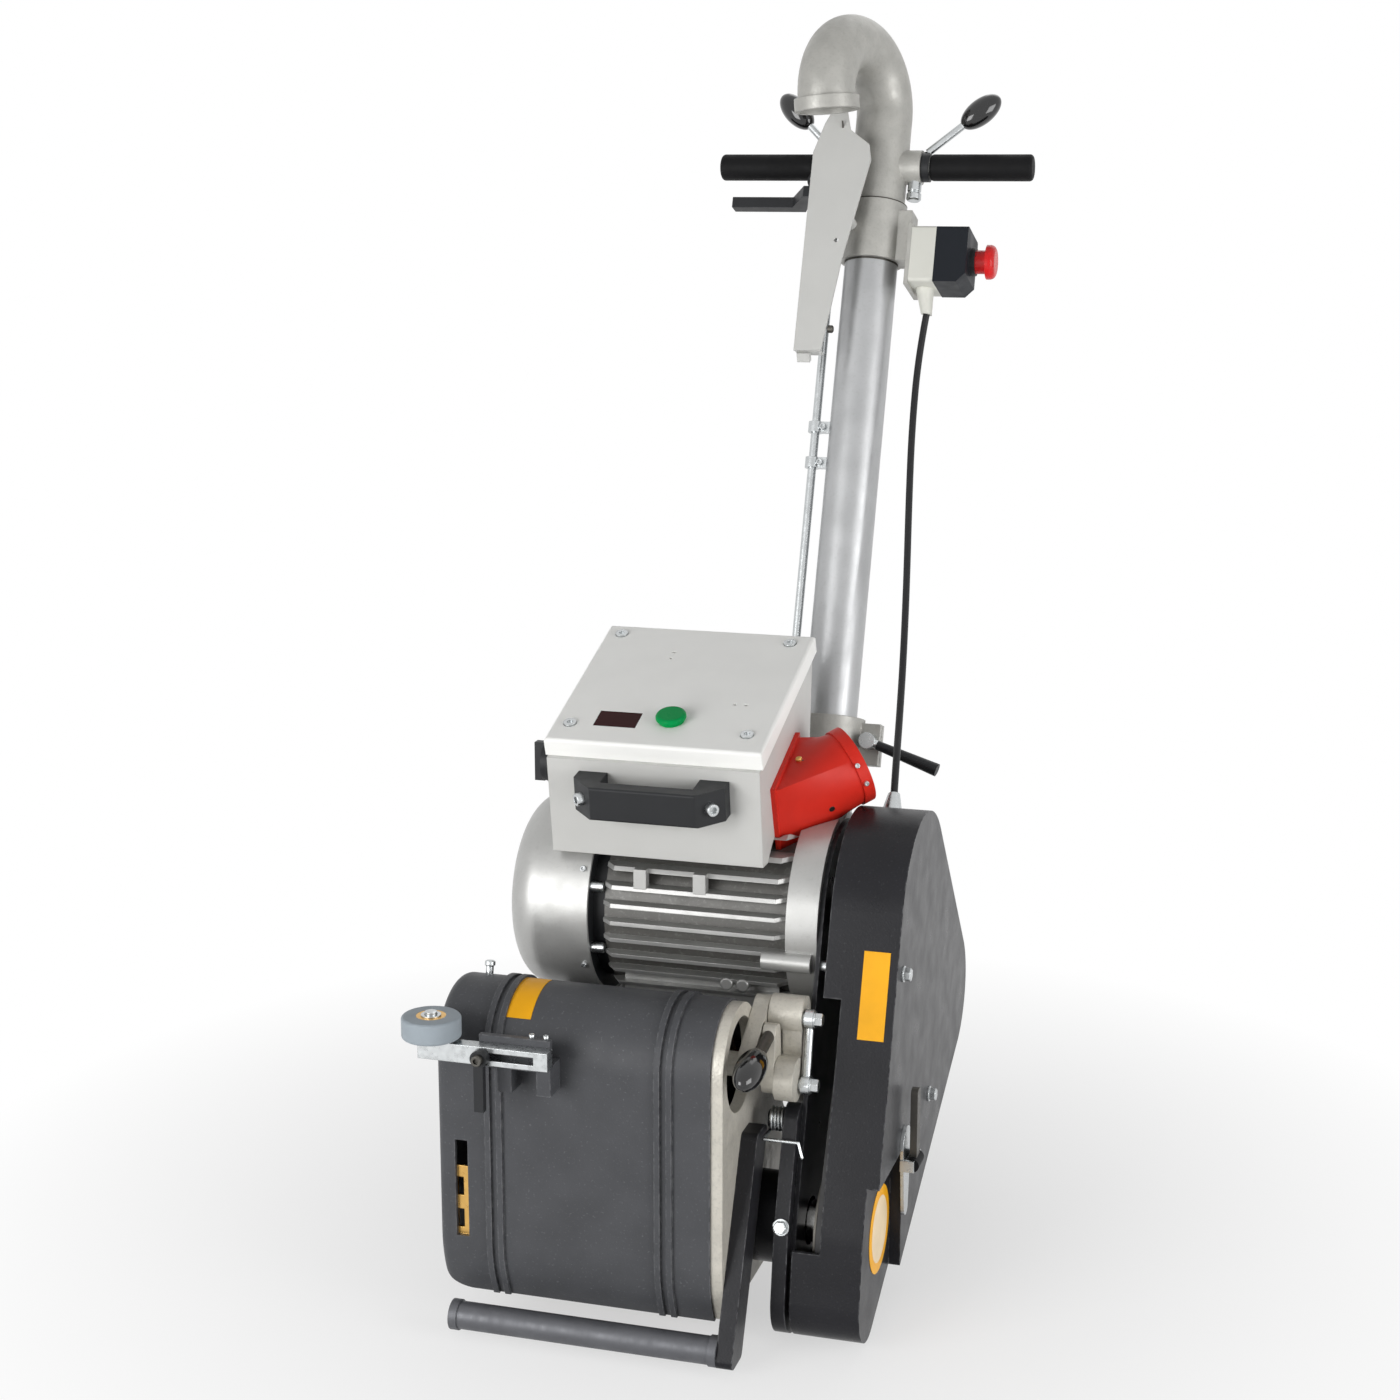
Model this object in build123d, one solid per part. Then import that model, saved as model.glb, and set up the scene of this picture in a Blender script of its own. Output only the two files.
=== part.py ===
from build123d import *
import os
from math import cos, radians, sin

# A belt floor sander, front towards -Y, +X to the right seen from the front, +Z up.
# It is drawn about the middle of the drum axis and moved to its footprint middle at the end.
FOOTPRINT_X = 55.0
FOOTPRINT_Y = 180.46

# Clearances
RUN_FIT = 0.05
LOOSE = 0.3
SWING_ROOM = 0.5
OVERCUT = 1.0

# Sanding belt, drum and tension roller
BELT_WIDTH = 200.0
BELT_THICKNESS = 1.2
DRUM_RADIUS = 86.0
RUBBER_THICKNESS = 12.0
DRUM_OVERHANG = 2.0
DRUM_LIFT = 0.0
DRUM_SHAFT_RADIUS = 17.5
DRUM_RECESS_DEPTH = 22.0
DRUM_HUB_RADIUS = 30.0
DRUM_RIM = 9.0
ROLLER_RADIUS = 35.0
ROLLER_PIN_RADIUS = 10.0
ROLLER_COLLAR_RADIUS = 14.0
ROLLER_Y = -56.0
ROLLER_RISE = 153.5
DRUM_Z = DRUM_LIFT + BELT_THICKNESS + LOOSE + DRUM_RADIUS
ROLLER_Z = DRUM_Z + ROLLER_RISE
DRUM_END = BELT_WIDTH / 2 + DRUM_OVERHANG

# Belt cover, side door and chassis casting
COVER_ROOM = 22.0
COVER_WALL = 3.0
COVER_BOTTOM = 33.0
COVER_SEAM_Z = 232.0
COVER_SEAM_Y = 24.0
COVER_END_ROOM = 6.0
RIB_HEIGHT = 2.5
RIB_WIDTH = 5.0
RIB_PAIR = 10.0
RIB_RIGHT_X = 62.0
DOOR_WALL = 4.0
DOOR_DEPTH = 43.0
DOOR_END_ROOM = 19.0
DOOR_EDGE_RADIUS = 9.0
DOOR_CORNER_RADIUS = 25.0
SLOT_WIDTH = 11.0
SLOT_FROM_LEFT = 16.0
SLOT_BOTTOM = 86.0
SLOT_TOP = 170.0
CATCH_THICKNESS = 3.0
CATCH_BELOW = 4.0
CATCH_SHORT = 24.0
CATCH_WINDOWS = (6.0, 34.0)
CATCH_WINDOW = 16.0
HOOD_WALL = 5.0
CHEEK = 10.0
CHEEK_INSET = 2.0
CHEEK_RIM = 11.0
CHEEK_DRUM_HOLE = 26.0
COVER_DRUM_RADIUS = DRUM_RADIUS + COVER_ROOM
COVER_ROLLER_RADIUS = COVER_DRUM_RADIUS + ROLLER_Y
COVER_RIGHT = DRUM_END + COVER_END_ROOM
CHEEK_RIGHT = COVER_RIGHT + CHEEK
DOOR_LEFT = -DRUM_END - DOOR_END_ROOM - DOOR_WALL
COVER_LEFT = DOOR_LEFT + DOOR_DEPTH
COVER_FRONT = -COVER_DRUM_RADIUS
DECK_TOP = 230.0
DECK_THICKNESS = 12.0
DECK_LEFT = -80.0
DECK_REAR = 176.0
DECK_NOSE_Y = -15.0
HINGE_OFFSET = 8.0
HINGE_PIN_RADIUS = 4.0
HINGE_KNUCKLE_RADIUS = 8.0
HINGE_KNUCKLE = 20.0
HINGE_BOTTOM = DRUM_Z - 1.5 * HINGE_KNUCKLE

# Front bumper
BUMPER_RADIUS = 11.5
BUMPER_Y = -115.0
BUMPER_BOTTOM = 6.0
BUMPER_COLLAR = 7.0
BUMPER_COLLAR_STEP = 1.2
LEG_WIDTH = 14.0
LEG_DEPTH = 32.0
LEG_TOP_Z = 180.0
LEG_TOP_Y = -52.0
LEG_FOOT_Y = -130.0
LEG_FOOT_Z = 8.0
LEG_ROUND = 6.0
BUMPER_LEFT = -111.0

# Drum bearings and guard stations along X
BEARING_LENGTH = 42.0
BEARING_TUBE_RADIUS = 38.0
BEARING_OUTER_RADIUS = 31.0
BEARING_WIDTH = 15.0
ARM_PLATE = 12.0
ARM_LOBE_RADIUS = 62.0
ARM_TOP_Y = -18.0
ARM_TOP_Z = 182.0
ARM_TOP_RADIUS = 15.0
BACKPLATE = 4.0
BACKPLATE_X = CHEEK_RIGHT + BEARING_LENGTH
LOBE_LEFT = BACKPLATE_X + BACKPLATE
LOBE_WIDTH = 58.0
GUARD_GAP = 8.0
GUARD_LEFT = LOBE_LEFT + GUARD_GAP
GUARD_WIDTH = 60.0
GUARD_RIGHT = GUARD_LEFT + GUARD_WIDTH
LOBE_RIGHT = LOBE_LEFT + LOBE_WIDTH

# Motor, fan and their drive
MOTOR_Y = 112.0
MOTOR_HEIGHT = 92.0
MOTOR_Z = DECK_TOP + MOTOR_HEIGHT
MOTOR_CORE_RADIUS = 76.0
MOTOR_FIN_RADIUS = 88.0
MOTOR_BORE_RADIUS = 66.0
MOTOR_LEFT = -28.0
MOTOR_RIGHT = 133.0
MOTOR_BORE_RIGHT = 107.0
FIN_THICKNESS = 3.6
FIN_PITCH = 15.0
FIN_COUNT = 11
FIN_END = 9.0
FOOT_WIDTH = 30.0
FOOT_INSET = 12.0
FOOT_SPREAD = 42.0
SHIELD_RADIUS = 72.0
SHIELD_SEAT = 5.0
SHIELD_GAP = 12.0
COWL_RADIUS = 87.0
COWL_WALL = 3.0
COWL_LEFT = -117.0
COWL_ROUND = 30.0
COWL_SLOTS = 18
COWL_SLOT_INNER = 16.0
COWL_SLOT_OUTER = 46.0
COWL_SLOT_WIDTH = 4.0
FLANGE_RADIUS = 86.0
FLANGE_STUD_X = (114.0, 156.0)
FLANGE_STUD_Y = 26.0
FLANGE_STUD_Z = 302.0
FLANGE_STUD_RADIUS = 8.0
FLANGE_WALL = 6.0
STATOR_INNER = 45.0
ROTOR_RADIUS = 44.4
MOTOR_SHAFT_RADIUS = 12.0
MOTOR_BEARING_RADIUS = 26.0
MOTOR_BEARING_WIDTH = 12.0
COOLING_FAN_RADIUS = 72.0
COOLING_BLADES = 8
COOLING_HUB_RADIUS = 22.0
COOLING_WIDTH = 24.0
COOLING_BLADE = 3.0
COOLING_ROOM = 18.0
COOLING_LEFT = COWL_LEFT + COOLING_ROOM
PULLEY_WIDTH = 17.0
GROOVE_WIDTH = 13.0
GROOVE_DEPTH = 7.0
DRIVE_BELT_WIDTH = 12.0
DRIVE_BELT_PROUD = 1.5
DRUM_PULLEY_RADIUS = 56.0
MOTOR_PULLEY_RADIUS = 50.0
FAN_PULLEY_RADIUS = 28.0
DRUM_BELT_INSET = 24.0
DRUM_BELT_X = LOBE_LEFT + DRUM_BELT_INSET
FAN_BELT_X = DRUM_BELT_X + PULLEY_WIDTH
FAN_Y = 262.0
FAN_Z = 203.0
SCROLL_RADIUS = 82.0
SCROLL_HALF_WIDTH = 25.0
SCROLL_WALL = 3.0
IMPELLER_RADIUS = 64.0
IMPELLER_BLADES = 10
IMPELLER_ROOM = 5.0
IMPELLER_BLADE = 3.0
IMPELLER_EDGE = 1.0
FAN_EYE_RADIUS = 33.0
FAN_SHAFT_RADIUS = 9.0
FAN_BEARING_TUBE = 24.0
SHAFT_ROOM = 3.0

# Belt guard outline: circles about the drum, the motor and the fan
GUARD_DRUM_RADIUS = 62.0
GUARD_MOTOR_RADIUS = 92.0
GUARD_FAN_RADIUS = 58.0
TOE_Y = -36.0
TOE_Z = 40.0
TOE_RADIUS = 34.0
GUARD_WALL = 3.0
GUARD_STEP_Z = 142.0
GUARD_STEP_Y = 40.0
NOTCH_WIDTH = 15.0
NOTCH_TOP = 283.0
NOTCH_BACK = 15.0
BACKPLATE_INSET = 12.0
STUD_RADIUS = 5.0
STUD_PLACES = ((150.0, 150.0), (30.0, 300.0))

# Guard latch on the outer face
LATCH_Y = 46.0
LATCH_TOP_Z = 196.0
LATCH_BOTTOM_Z = 122.0
LATCH_WIDTH = 12.0
LATCH_THICKNESS = 6.0
LATCH_STAND = 6.5
LATCH_ROLLER_RADIUS = 9.0
LATCH_ROLLER_LENGTH = 22.0
LATCH_PIN_RADIUS = 2.5
LATCH_ROUND = 4.8
KEEPER_BOTTOM_Z = 82.0
KEEPER_WIDTH = 30.0
KEEPER_THICKNESS = 3.0
KEEPER_EAR_HALF = 5.0

# Tension mechanism at the right cheek
TENSION_PIVOT_Y = -8.0
TENSION_PIVOT_Z = 270.0
TENSION_PIN_RADIUS = 8.0
TENSION_BOSS_RADIUS = 16.0
TENSION_POST_HALF = 12.8
TENSION_PLATE = 13.0
TENSION_PLATE_RADIUS = 14.0
LEVER_Y = -34.0
LEVER_Z = 224.0
LEVER_SHAFT_RADIUS = 9.0
LEVER_BOSS_RADIUS = 18.0
LEVER_COLLAR_RADIUS = 13.0
LEVER_COLLAR = 12.0
LEVER_ROD_RADIUS = 5.0
LEVER_LUG_RISE = 38.0
LEVER_LUG_RADIUS = 8.0
LEVER_LUG_ROOM = 1.0
LEVER_LENGTH = 34.0
LEVER_DROP = 5.0
KNOB_RADIUS = 12.5
KNOB_LENGTH = 56.0
BRACKET_FOOT_REAR = 40.0
BRACKET_FOOT = 10.0
LINK_RADIUS = 3.5
LINK_STUD = 2.0
LINK_STUD_RADIUS = 5.0
LINK_EYE = 7.0
LINK_EYE_RADIUS = 8.0
SPRING_RADIUS = 9.0
SPRING_WIRE_RADIUS = 1.4
SPRING_PITCH = 3.0
SPRING_TURNS = 4
SPRING_GAP = 1.8
SPRING_JOINT_RADIUS = 1.8
SPRING_LEG = 24.0
SPRING_CROSS = 29.0
SPRING_HOOK = (11.0, -3.0, 4.0)

# Wall guide at the upper left
GUIDE_BAR_DEPTH = 12.0
GUIDE_BAR_HEIGHT = 15.0
GUIDE_BAR_LEFT = -125.0
GUIDE_BAR_RIGHT = -15.0
GUIDE_BAR_ROOM = 28.0
GUIDE_BAR_Y = COVER_FRONT - GUIDE_BAR_ROOM
GUIDE_BAR_BOTTOM = 251.0
GUIDE_TRAVEL = 40.0
GUIDE_SCREW_X = -70.0
GUIDE_SCREW_RADIUS = 3.0
GUIDE_SCREW_HEAD = 8.0
GUIDE_SCREW_HEAD_RADIUS = 7.0
GUIDE_PLATE = 5.0
GUIDE_PLATE_EDGE = 6.0
GUIDE_FOOT_DROP = 26.0
GUIDE_FOOT_TOP = 1.0
GUIDE_BRACKET_LEFT = -77.0
GUIDE_BRACKET_RIGHT = -17.0
GUIDE_BRACKET_FOOT = 12.0
GUIDE_WHEEL_RADIUS = 24.0
GUIDE_WHEEL_WIDTH = 18.0
GUIDE_HUB_RADIUS = 12.0
GUIDE_PIN_RADIUS = 5.0
GUIDE_SHOULDER_RADIUS = 8.0
GUIDE_WHEEL_GAP = 2.0
GUIDE_TYRE_ROUND = 2.5
GUIDE_WHEEL_X = -115.0
GUIDE_LEVER_LENGTH = 44.0
GUIDE_LEVER_WIDTH = 8.0
GUIDE_LEVER_DEPTH = 6.0

# Control box over the motor
BOX_LEFT = -71.0
BOX_RIGHT = 113.0
BOX_FRONT_Y = 17.0
BOX_FRONT_TOP = 464.0
BOX_FRONT_FOOT_Y = 30.0
BOX_BOTTOM = 380.0
BOX_BACK_Y = 190.0
BOX_BACK_FOOT_Y = 178.0
BOX_SLOPE = 20.0
BOX_WALL = 3.0
BOX_MOTOR_ROOM = 0.3
LID_THICKNESS = 16.0
LID_LIP = 2.0
LID_ROUND = 3.0
LID_SCREW_RADIUS = 5.5
LID_SCREW_SINK = 1.5
LID_SCREW_HEAD = 3.0
LID_SCREW_HEX = 2.4
LID_SCREWS = ((-79.0, 24.0), (75.0, 24.0), (-79.0, 171.0), (75.0, 171.0))
WINDOW_CENTRE = (-40.0, 34.5)
WINDOW_SIZE = (37.0, 23.0)
WINDOW_DEPTH = 3.0
BUTTON_CENTRE = (6.0, 38.0)
BUTTON_RADIUS = 10.8
BUTTON_RIM = 13.0
BUTTON_CAP = 4.0
BUTTON_ROUND = 2.8
BUTTON_TRAVEL = 3.0
TINY_HOLES = ((-23.0, 135.5), (-23.0, 146.0), (52.5, 69.0), (62.5, 69.0))
TINY_HOLE_RADIUS = 1.6
GRIP_X = (-43.0, 87.0)
GRIP_FOOT = 25.0
GRIP_REACH = 34.0
GRIP_BAR = 13.0
GRIP_HEIGHT = 29.0
GRIP_CHAMFER = 20.0
GRIP_ROUND = 2.0
GRIP_MIDDLE_Z = 440.0
SWITCH_Y = 44.0
SWITCH_Z = 454.0
SWITCH_PLATE_RADIUS = 18.5
SWITCH_PLATE = 5.0
SWITCH_KNOB_RADIUS = 16.5
SWITCH_KNOB = 5.0
SWITCH_GRIP = 9.0
SWITCH_GRIP_WIDTH = 8.0
INLET_CENTRE = (104.0, 422.0)
INLET_BASE = (88.0, 74.0)
INLET_FLANGE = 4.0
INLET_STEP = 6.0
INLET_ROOM = 1.0
INLET_REACH = (48.0, 33.0, 25.0)
INLET_RADIUS = 33.0
INLET_MOUTH_RADIUS = 28.5
INLET_RIM = 10.0
INLET_RIM_STEP = 1.5
INLET_DEPTH = 30.0
INLET_PIN_RADIUS = 2.4
INLET_PIN_CIRCLE = 16.0
INLET_PIN_LENGTH = 22.0
INLET_PINS = 5

# Dust tube, collar, head and handlebars, along the leaning mast
TUBE_X = 103.0
TUBE_LEAN = 19.5
TUBE_RADIUS = 25.0
TUBE_WALL = 2.0
MAST_Y = 294.0
MAST_Z = 430.0
OUTLET_RADIUS = 28.0
CLAMP_LOW = -24.0
CLAMP_HIGH = 18.0
CLAMP_RADIUS = 33.0
CLAMP_LUG = 16.0
CLAMP_LUG_REACH = 50.0
CLAMP_SPLIT = 3.0
CLAMP_LUG_SHORT = 4.0
CLAMP_PIN_RADIUS = 5.0
CLAMP_PIN_EDGE = 9.0
CLAMP_HEAD = 14.0
CLAMP_HEAD_RADIUS = 7.5
CLAMP_LEVER_LENGTH = 66.0
CLAMP_LEVER_DROP = 22.0
CLAMP_LEVER_ROOT = 4.0
CLAMP_LEVER_TIP = 6.0
BAR_HEIGHT = 544.0
COLLAR_LENGTH = 56.0
COLLAR_HIGH = BAR_HEIGHT - 38.0
COLLAR_LOW = COLLAR_HIGH - COLLAR_LENGTH
COLLAR_RADIUS = 29.0
COLLAR_PAD_SHORT = 8.0
COLLAR_PAD_HALF = 14.0
HEAD_RADIUS = 26.5
HEAD_WALL = 4.0
HEAD_STRAIGHT = 85.0
BEND_RADIUS = 52.0
BEND_ANGLE = 196.0
BEND_TWIST = 19.0
MOUTH_RADIUS = 30.0
MOUTH_LENGTH = 12.0
BAR_RADIUS = 10.0
HUB_RADIUS = 16.0
HUB_REACH = 41.0
LEVER_RING = 7.0
LEVER_RING_RADIUS = 13.5
GRIP_RADIUS = 12.4
GRIP_LENGTH_LEFT = 106.0
GRIP_LENGTH_RIGHT = 97.0
GRIP_END = 4.0
GRIP_END_ROUND = 3.5
LOCK_ROD_RADIUS = 3.6
LOCK_NECK = 1.0
LOCK_ROOT = 2.0
LOCK_RUN_LEFT = 46.8
LOCK_RUN_RIGHT = 55.0
LOCK_RISE = 46.5
LOCK_ROD_SHARE = 0.55
LOCK_KNOB_RADIUS = 12.0
LOCK_KNOB_LENGTH = 44.0

# Lift linkage
ROD_OFFSET = -39.0
ROD_RADIUS = 4.0
ROD_EYE_RADIUS = 6.2
ROD_EYE_WIDTH = 7.0
ROD_SIDE_ROOM = 2.0
ROD_EYE_PLAY = 1.0
ROD_PIN_RADIUS = 3.5
LIFT_PIVOT_X = -50.0
LIFT_HEIGHT = BAR_HEIGHT - 26.6
LIFT_PLANE = -37.0
LIFT_PLATE = 6.0
LIFT_PLATE_HALF = 6.0
LIFT_BOSS_RADIUS = 9.0
LIFT_PIN_PROUD = 3.0
LIFT_STUD_RADIUS = 5.0
LIFT_STUD_PROUD = 1.0
LIFT_BAR_END = -140.0
LIFT_BAR_HEIGHT = 10.0
LIFT_BAR_DEPTH = 14.0
LIFT_ELBOW_X = -70.0
LIFT_ELBOW_FRONT = 12.0
LIFT_ELBOW_LEAD = 10.0
LIFT_ELBOW_BACK = 4.0
GUIDE_CLIPS = (252.0, 286.0)
CLIP_HEIGHT = 10.0
CLIP_RADIUS = 7.0
CLIP_WEB_HALF = 4.0
LINKAGE_PLANE = -46.0
LINKAGE_SHEET = 2.0
LINKAGE_FOLD = 14.0
LINKAGE_FOLD_INSET = 1.0
LINKAGE_PEG_RADIUS = 5.0
LINKAGE_HOLE_RADIUS = 2.0
# Places on the linkage cover: right of the tube's middle, and above the handlebars
LINKAGE_OUTLINE = (
    (-55.0, -192.0),
    (-29.0, -191.0),
    (-17.0, -104.0),
    (2.0, -9.0),
    (-1.0, 6.0),
    (-20.0, 20.0),
    (-26.0, 44.0),
    (-36.0, 44.0),
    (-45.0, 26.0),
    (-54.0, -2.0),
)
LINKAGE_HOLE = (-24.0, -86.0)
LINKAGE_PEGS = ((-15.0, 6.0), (-16.0, -64.0))

# Emergency stop on the collar, seen along the mast
STOP_CENTRE = BAR_HEIGHT - 91.0
STOP_SIZE = 53.0
STOP_PAD_REACH = 38.0
STOP_PLATE = 4.0
STOP_PLATE_EDGE = 3.0
STOP_BASE = 23.0
STOP_COVER = 30.0
STOP_CHAMFER = 8.0
STOP_ROUND = 3.0
STOP_NECK_RADIUS = 13.0
STOP_NECK = 5.0
STOP_STEM_RADIUS = 11.0
STOP_TRAVEL = 5.0
STOP_STEM_SHOWN = 2 * STOP_TRAVEL
STOP_CAP_RADIUS = 16.0
STOP_CAP = 8.5
STOP_CAP_ROUND = 5.5
STOP_STEM = 10.0
GLAND_RADIUS = 8.5
GLAND_LIP = 2.0

# Emergency stop cable from the upper gland to the gland on the guard
# Each bulge is a share of the way down, then how far the cable is right, back and up of a straight line
CABLE_RADIUS = 3.2
CABLE_TOP_X = 57.0
CABLE_TOP_DROP = 24.5
CABLE_FOOT = (194.0, 161.5, 415.7)
CABLE_BULGES = (
    (0.08, -6.8, 8.4, -6.0),
    (0.22, -10.2, 15.5, -13.5),
    (0.38, -10.3, 25.0, -16.2),
    (0.54, -8.9, 31.4, -20.9),
    (0.70, -7.0, 30.9, -20.5),
    (0.84, -4.4, 20.0, -13.0),
    (0.94, -0.9, 3.6, -1.1),
)
CABLE_BEND = 0.45

# Wheel carriage and rear wheels
WHEEL_RADIUS = 60.0
WHEEL_WIDTH = 28.0
WHEEL_Y = 340.0
WHEEL_HUB_RADIUS = 36.0
WHEEL_HUB_DISH = 6.0
WHEEL_RIM = 5.0
TYRE_ROUND = 5.0
AXLE_RADIUS = 10.0
AXLE_END = 3.0
CARRIAGE_PLATE = 8.0
CARRIAGE_LEFT_X = -66.0
CARRIAGE_ARM = 48.0
CARRIAGE_PIN_RADIUS = 8.0
CARRIAGE_TUBE_RADIUS = 14.0
CARRIAGE_PIN_Y = 195.0
CARRIAGE_LUG = 9.0
CARRIAGE_LUG_HALF = 16.0
ARM_END_RADIUS = 17.0
WHEEL_LEFT_X = -98.0
WHEEL_RIGHT_X = 124.0

# Suction duct from the drum hood to the fan eye
DUCT_LEFT = 4.0
DUCT_RIGHT = 56.0
DUCT_WALL = 2.5
DUCT_BOTTOM = 60.0
DUCT_TOP = 125.0
DUCT_RISER_Y = 222.0
DUCT_REAR = 304.0
DUCT_ROOF = 244.0

# Joint places that follow from the sizes above
LEAN = radians(TUBE_LEAN)
MAST = Plane(origin=(TUBE_X, MAST_Y, MAST_Z), x_dir=(1, 0, 0), z_dir=(0, sin(LEAN), cos(LEAN)))
SLOPE = radians(BOX_SLOPE)
LID_MIDDLE = (BOX_LEFT + BOX_RIGHT) / 2
LID_PLANE = Plane(
    origin=(LID_MIDDLE, BOX_FRONT_Y, BOX_FRONT_TOP + LID_THICKNESS / cos(SLOPE)),
    x_dir=(1, 0, 0),
    z_dir=(0, -sin(SLOPE), cos(SLOPE)),
)
ROD_X = TUBE_X + ROD_OFFSET
ROD_FOOT = (CARRIAGE_PIN_Y - MAST_Y) / sin(LEAN)
CARRIAGE_PIN_Z = MAST_Z + ROD_FOOT * cos(LEAN)
CARRIAGE_Y = CARRIAGE_PIN_Y - CARRIAGE_ARM * cos(LEAN)
CARRIAGE_Z = CARRIAGE_PIN_Z + CARRIAGE_ARM * sin(LEAN)
CARRIAGE_RIGHT_X = ROD_X + ROD_EYE_WIDTH / 2 + ROD_SIDE_ROOM
HINGE_X = COVER_LEFT - SWING_ROOM / 2
HINGE_Y = COVER_DRUM_RADIUS + HINGE_OFFSET
LEVER_X = CHEEK_RIGHT + SWING_ROOM + TENSION_PLATE + LEVER_COLLAR / 2
SPRING_LEFT = BACKPLATE_X - ARM_PLATE - SPRING_GAP - SPRING_PITCH * SPRING_TURNS
GUIDE_BAR_TOP = GUIDE_BAR_BOTTOM + GUIDE_BAR_HEIGHT
GUIDE_SCREW_Z = GUIDE_BAR_BOTTOM + GUIDE_BAR_HEIGHT / 2


# Small helpers for shapes


def block(x, y, z):
    """Box between low and high values on each axis."""
    size = Box(x[1] - x[0], y[1] - y[0], z[1] - z[0])
    return Pos((x[0] + x[1]) / 2, (y[0] + y[1]) / 2, (z[0] + z[1]) / 2) * size


def bar(start, end, radius):
    """Round bar between two points."""
    run = Vector(*end) - Vector(*start)
    base = Plane(origin=start, z_dir=run)
    return base * Cylinder(radius, run.length, align=(Align.CENTER, Align.CENTER, Align.MIN))


def cross_bar(left, right, y, z, radius):
    """Round bar along X."""
    return bar((left, y, z), (right, y, z), radius)


def slab(outline, left, right):
    """Side outline drawn in Y and Z, thickened along X."""
    return extrude(Plane.YZ.offset(left) * outline, amount=right - left)


def disc(y, z, radius):
    return Pos(y, z) * Circle(radius)


def hull(*circles):
    """Outline stretched round circles given as y, z and radius."""
    edges = []
    for y, z, radius in circles:
        edges += disc(y, z, radius).edges()
    return make_hull(edges)


def group(*shapes):
    """Separate solids kept side by side in one node."""
    return Compound([solid for shape in shapes for solid in shape.solids()])


def oval_knob(start, end, radius):
    """Egg-shaped knob along the line from start to end."""
    run = Vector(*end) - Vector(*start)
    half = run.length / 2
    outline = Plane.XZ * Ellipse(radius, half)
    side = split(outline, Plane.YZ)
    egg = revolve(side, Axis.Z)
    return Plane(origin=Vector(*start) + run * 0.5, z_dir=run) * egg


def belt_outline(inset):
    """Side outline of cover and door, set in from the outside."""
    return hull(
        (0, DRUM_Z, COVER_DRUM_RADIUS - inset),
        (ROLLER_Y, ROLLER_Z, COVER_ROLLER_RADIUS - inset),
    )


def guard_outline(inset):
    """Side outline of the belt guard, set in from the outside."""
    return hull(
        (0, DRUM_Z, GUARD_DRUM_RADIUS - inset),
        (MOTOR_Y, MOTOR_Z, GUARD_MOTOR_RADIUS - inset),
        (FAN_Y, FAN_Z, GUARD_FAN_RADIUS - inset),
    )


def toe_outline(inset):
    """Drum lobe drawn down to its toe near the floor, set in from the outside."""
    return hull((0, DRUM_Z, GUARD_DRUM_RADIUS - inset), (TOE_Y, TOE_Z, TOE_RADIUS - inset))


def below_cover(left, right, rise=0.0):
    reach = 2 * COVER_DRUM_RADIUS
    return block((left, right), (-reach, reach), (-reach, COVER_BOTTOM + rise))


def pulley(mid_x, y, z, radius, bore):
    """Flat disc with one belt groove round its rim."""
    half = PULLEY_WIDTH / 2
    wheel = cross_bar(mid_x - half, mid_x + half, y, z, radius)
    half_groove = GROOVE_WIDTH / 2
    ring = cross_bar(mid_x - half_groove, mid_x + half_groove, y, z, radius + OVERCUT)
    ring -= cross_bar(mid_x - half_groove, mid_x + half_groove, y, z, radius - GROOVE_DEPTH)
    return wheel - ring - cross_bar(mid_x - half, mid_x + half, y, z, bore)


def drive_belt(mid_x, *wheels):
    """Belt loop round pulleys given as y, z and radius."""
    inner = [(y, z, radius - GROOVE_DEPTH + LOOSE) for y, z, radius in wheels]
    outer = [(y, z, radius + DRIVE_BELT_PROUD) for y, z, radius in wheels]
    half = DRIVE_BELT_WIDTH / 2
    return slab(hull(*outer) - hull(*inner), mid_x - half, mid_x + half)


# Chassis, cover, door and bumper


def chassis():
    """Casting: drum hood, right cheek, motor deck and lugs for the carriage and the door."""
    ring = slab(belt_outline(0) - belt_outline(HOOD_WALL), COVER_LEFT, COVER_RIGHT)
    reach = 2 * COVER_DRUM_RADIUS
    rear = block((COVER_LEFT, COVER_RIGHT), (0, reach), (COVER_BOTTOM, COVER_SEAM_Z - LOOSE))
    casting = ring & rear
    cheek = slab(belt_outline(CHEEK_INSET), COVER_RIGHT, CHEEK_RIGHT)
    opening = COVER_ROLLER_RADIUS - CHEEK_INSET - CHEEK_RIM
    cheek -= cross_bar(COVER_RIGHT, CHEEK_RIGHT, ROLLER_Y, ROLLER_Z, opening)
    cheek -= cross_bar(COVER_RIGHT, CHEEK_RIGHT, 0, DRUM_Z, CHEEK_DRUM_HOLE)
    casting += cheek - below_cover(COVER_RIGHT, CHEEK_RIGHT, CHEEK_INSET)
    deck_z = (DECK_TOP - DECK_THICKNESS, DECK_TOP)
    seam_point = COVER_SEAM_Y - HOOD_WALL
    casting += block((DECK_LEFT, BACKPLATE_X), (seam_point, DECK_REAR), deck_z)
    casting += block((CHEEK_RIGHT, BACKPLATE_X), (DECK_NOSE_Y, DECK_REAR), deck_z)
    for left in carriage_lugs():
        casting += carriage_lug(left)
    for z in (HINGE_BOTTOM, HINGE_BOTTOM + 2 * HINGE_KNUCKLE):
        casting += door_knuckle(z + SWING_ROOM, z + HINGE_KNUCKLE - SWING_ROOM, 1)
    casting -= block(
        (DUCT_LEFT + DUCT_WALL, DUCT_RIGHT - DUCT_WALL),
        (COVER_DRUM_RADIUS / 2, COVER_DRUM_RADIUS + HOOD_WALL),
        (DUCT_BOTTOM + DUCT_WALL, DUCT_TOP - DUCT_WALL),
    )
    return casting


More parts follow.
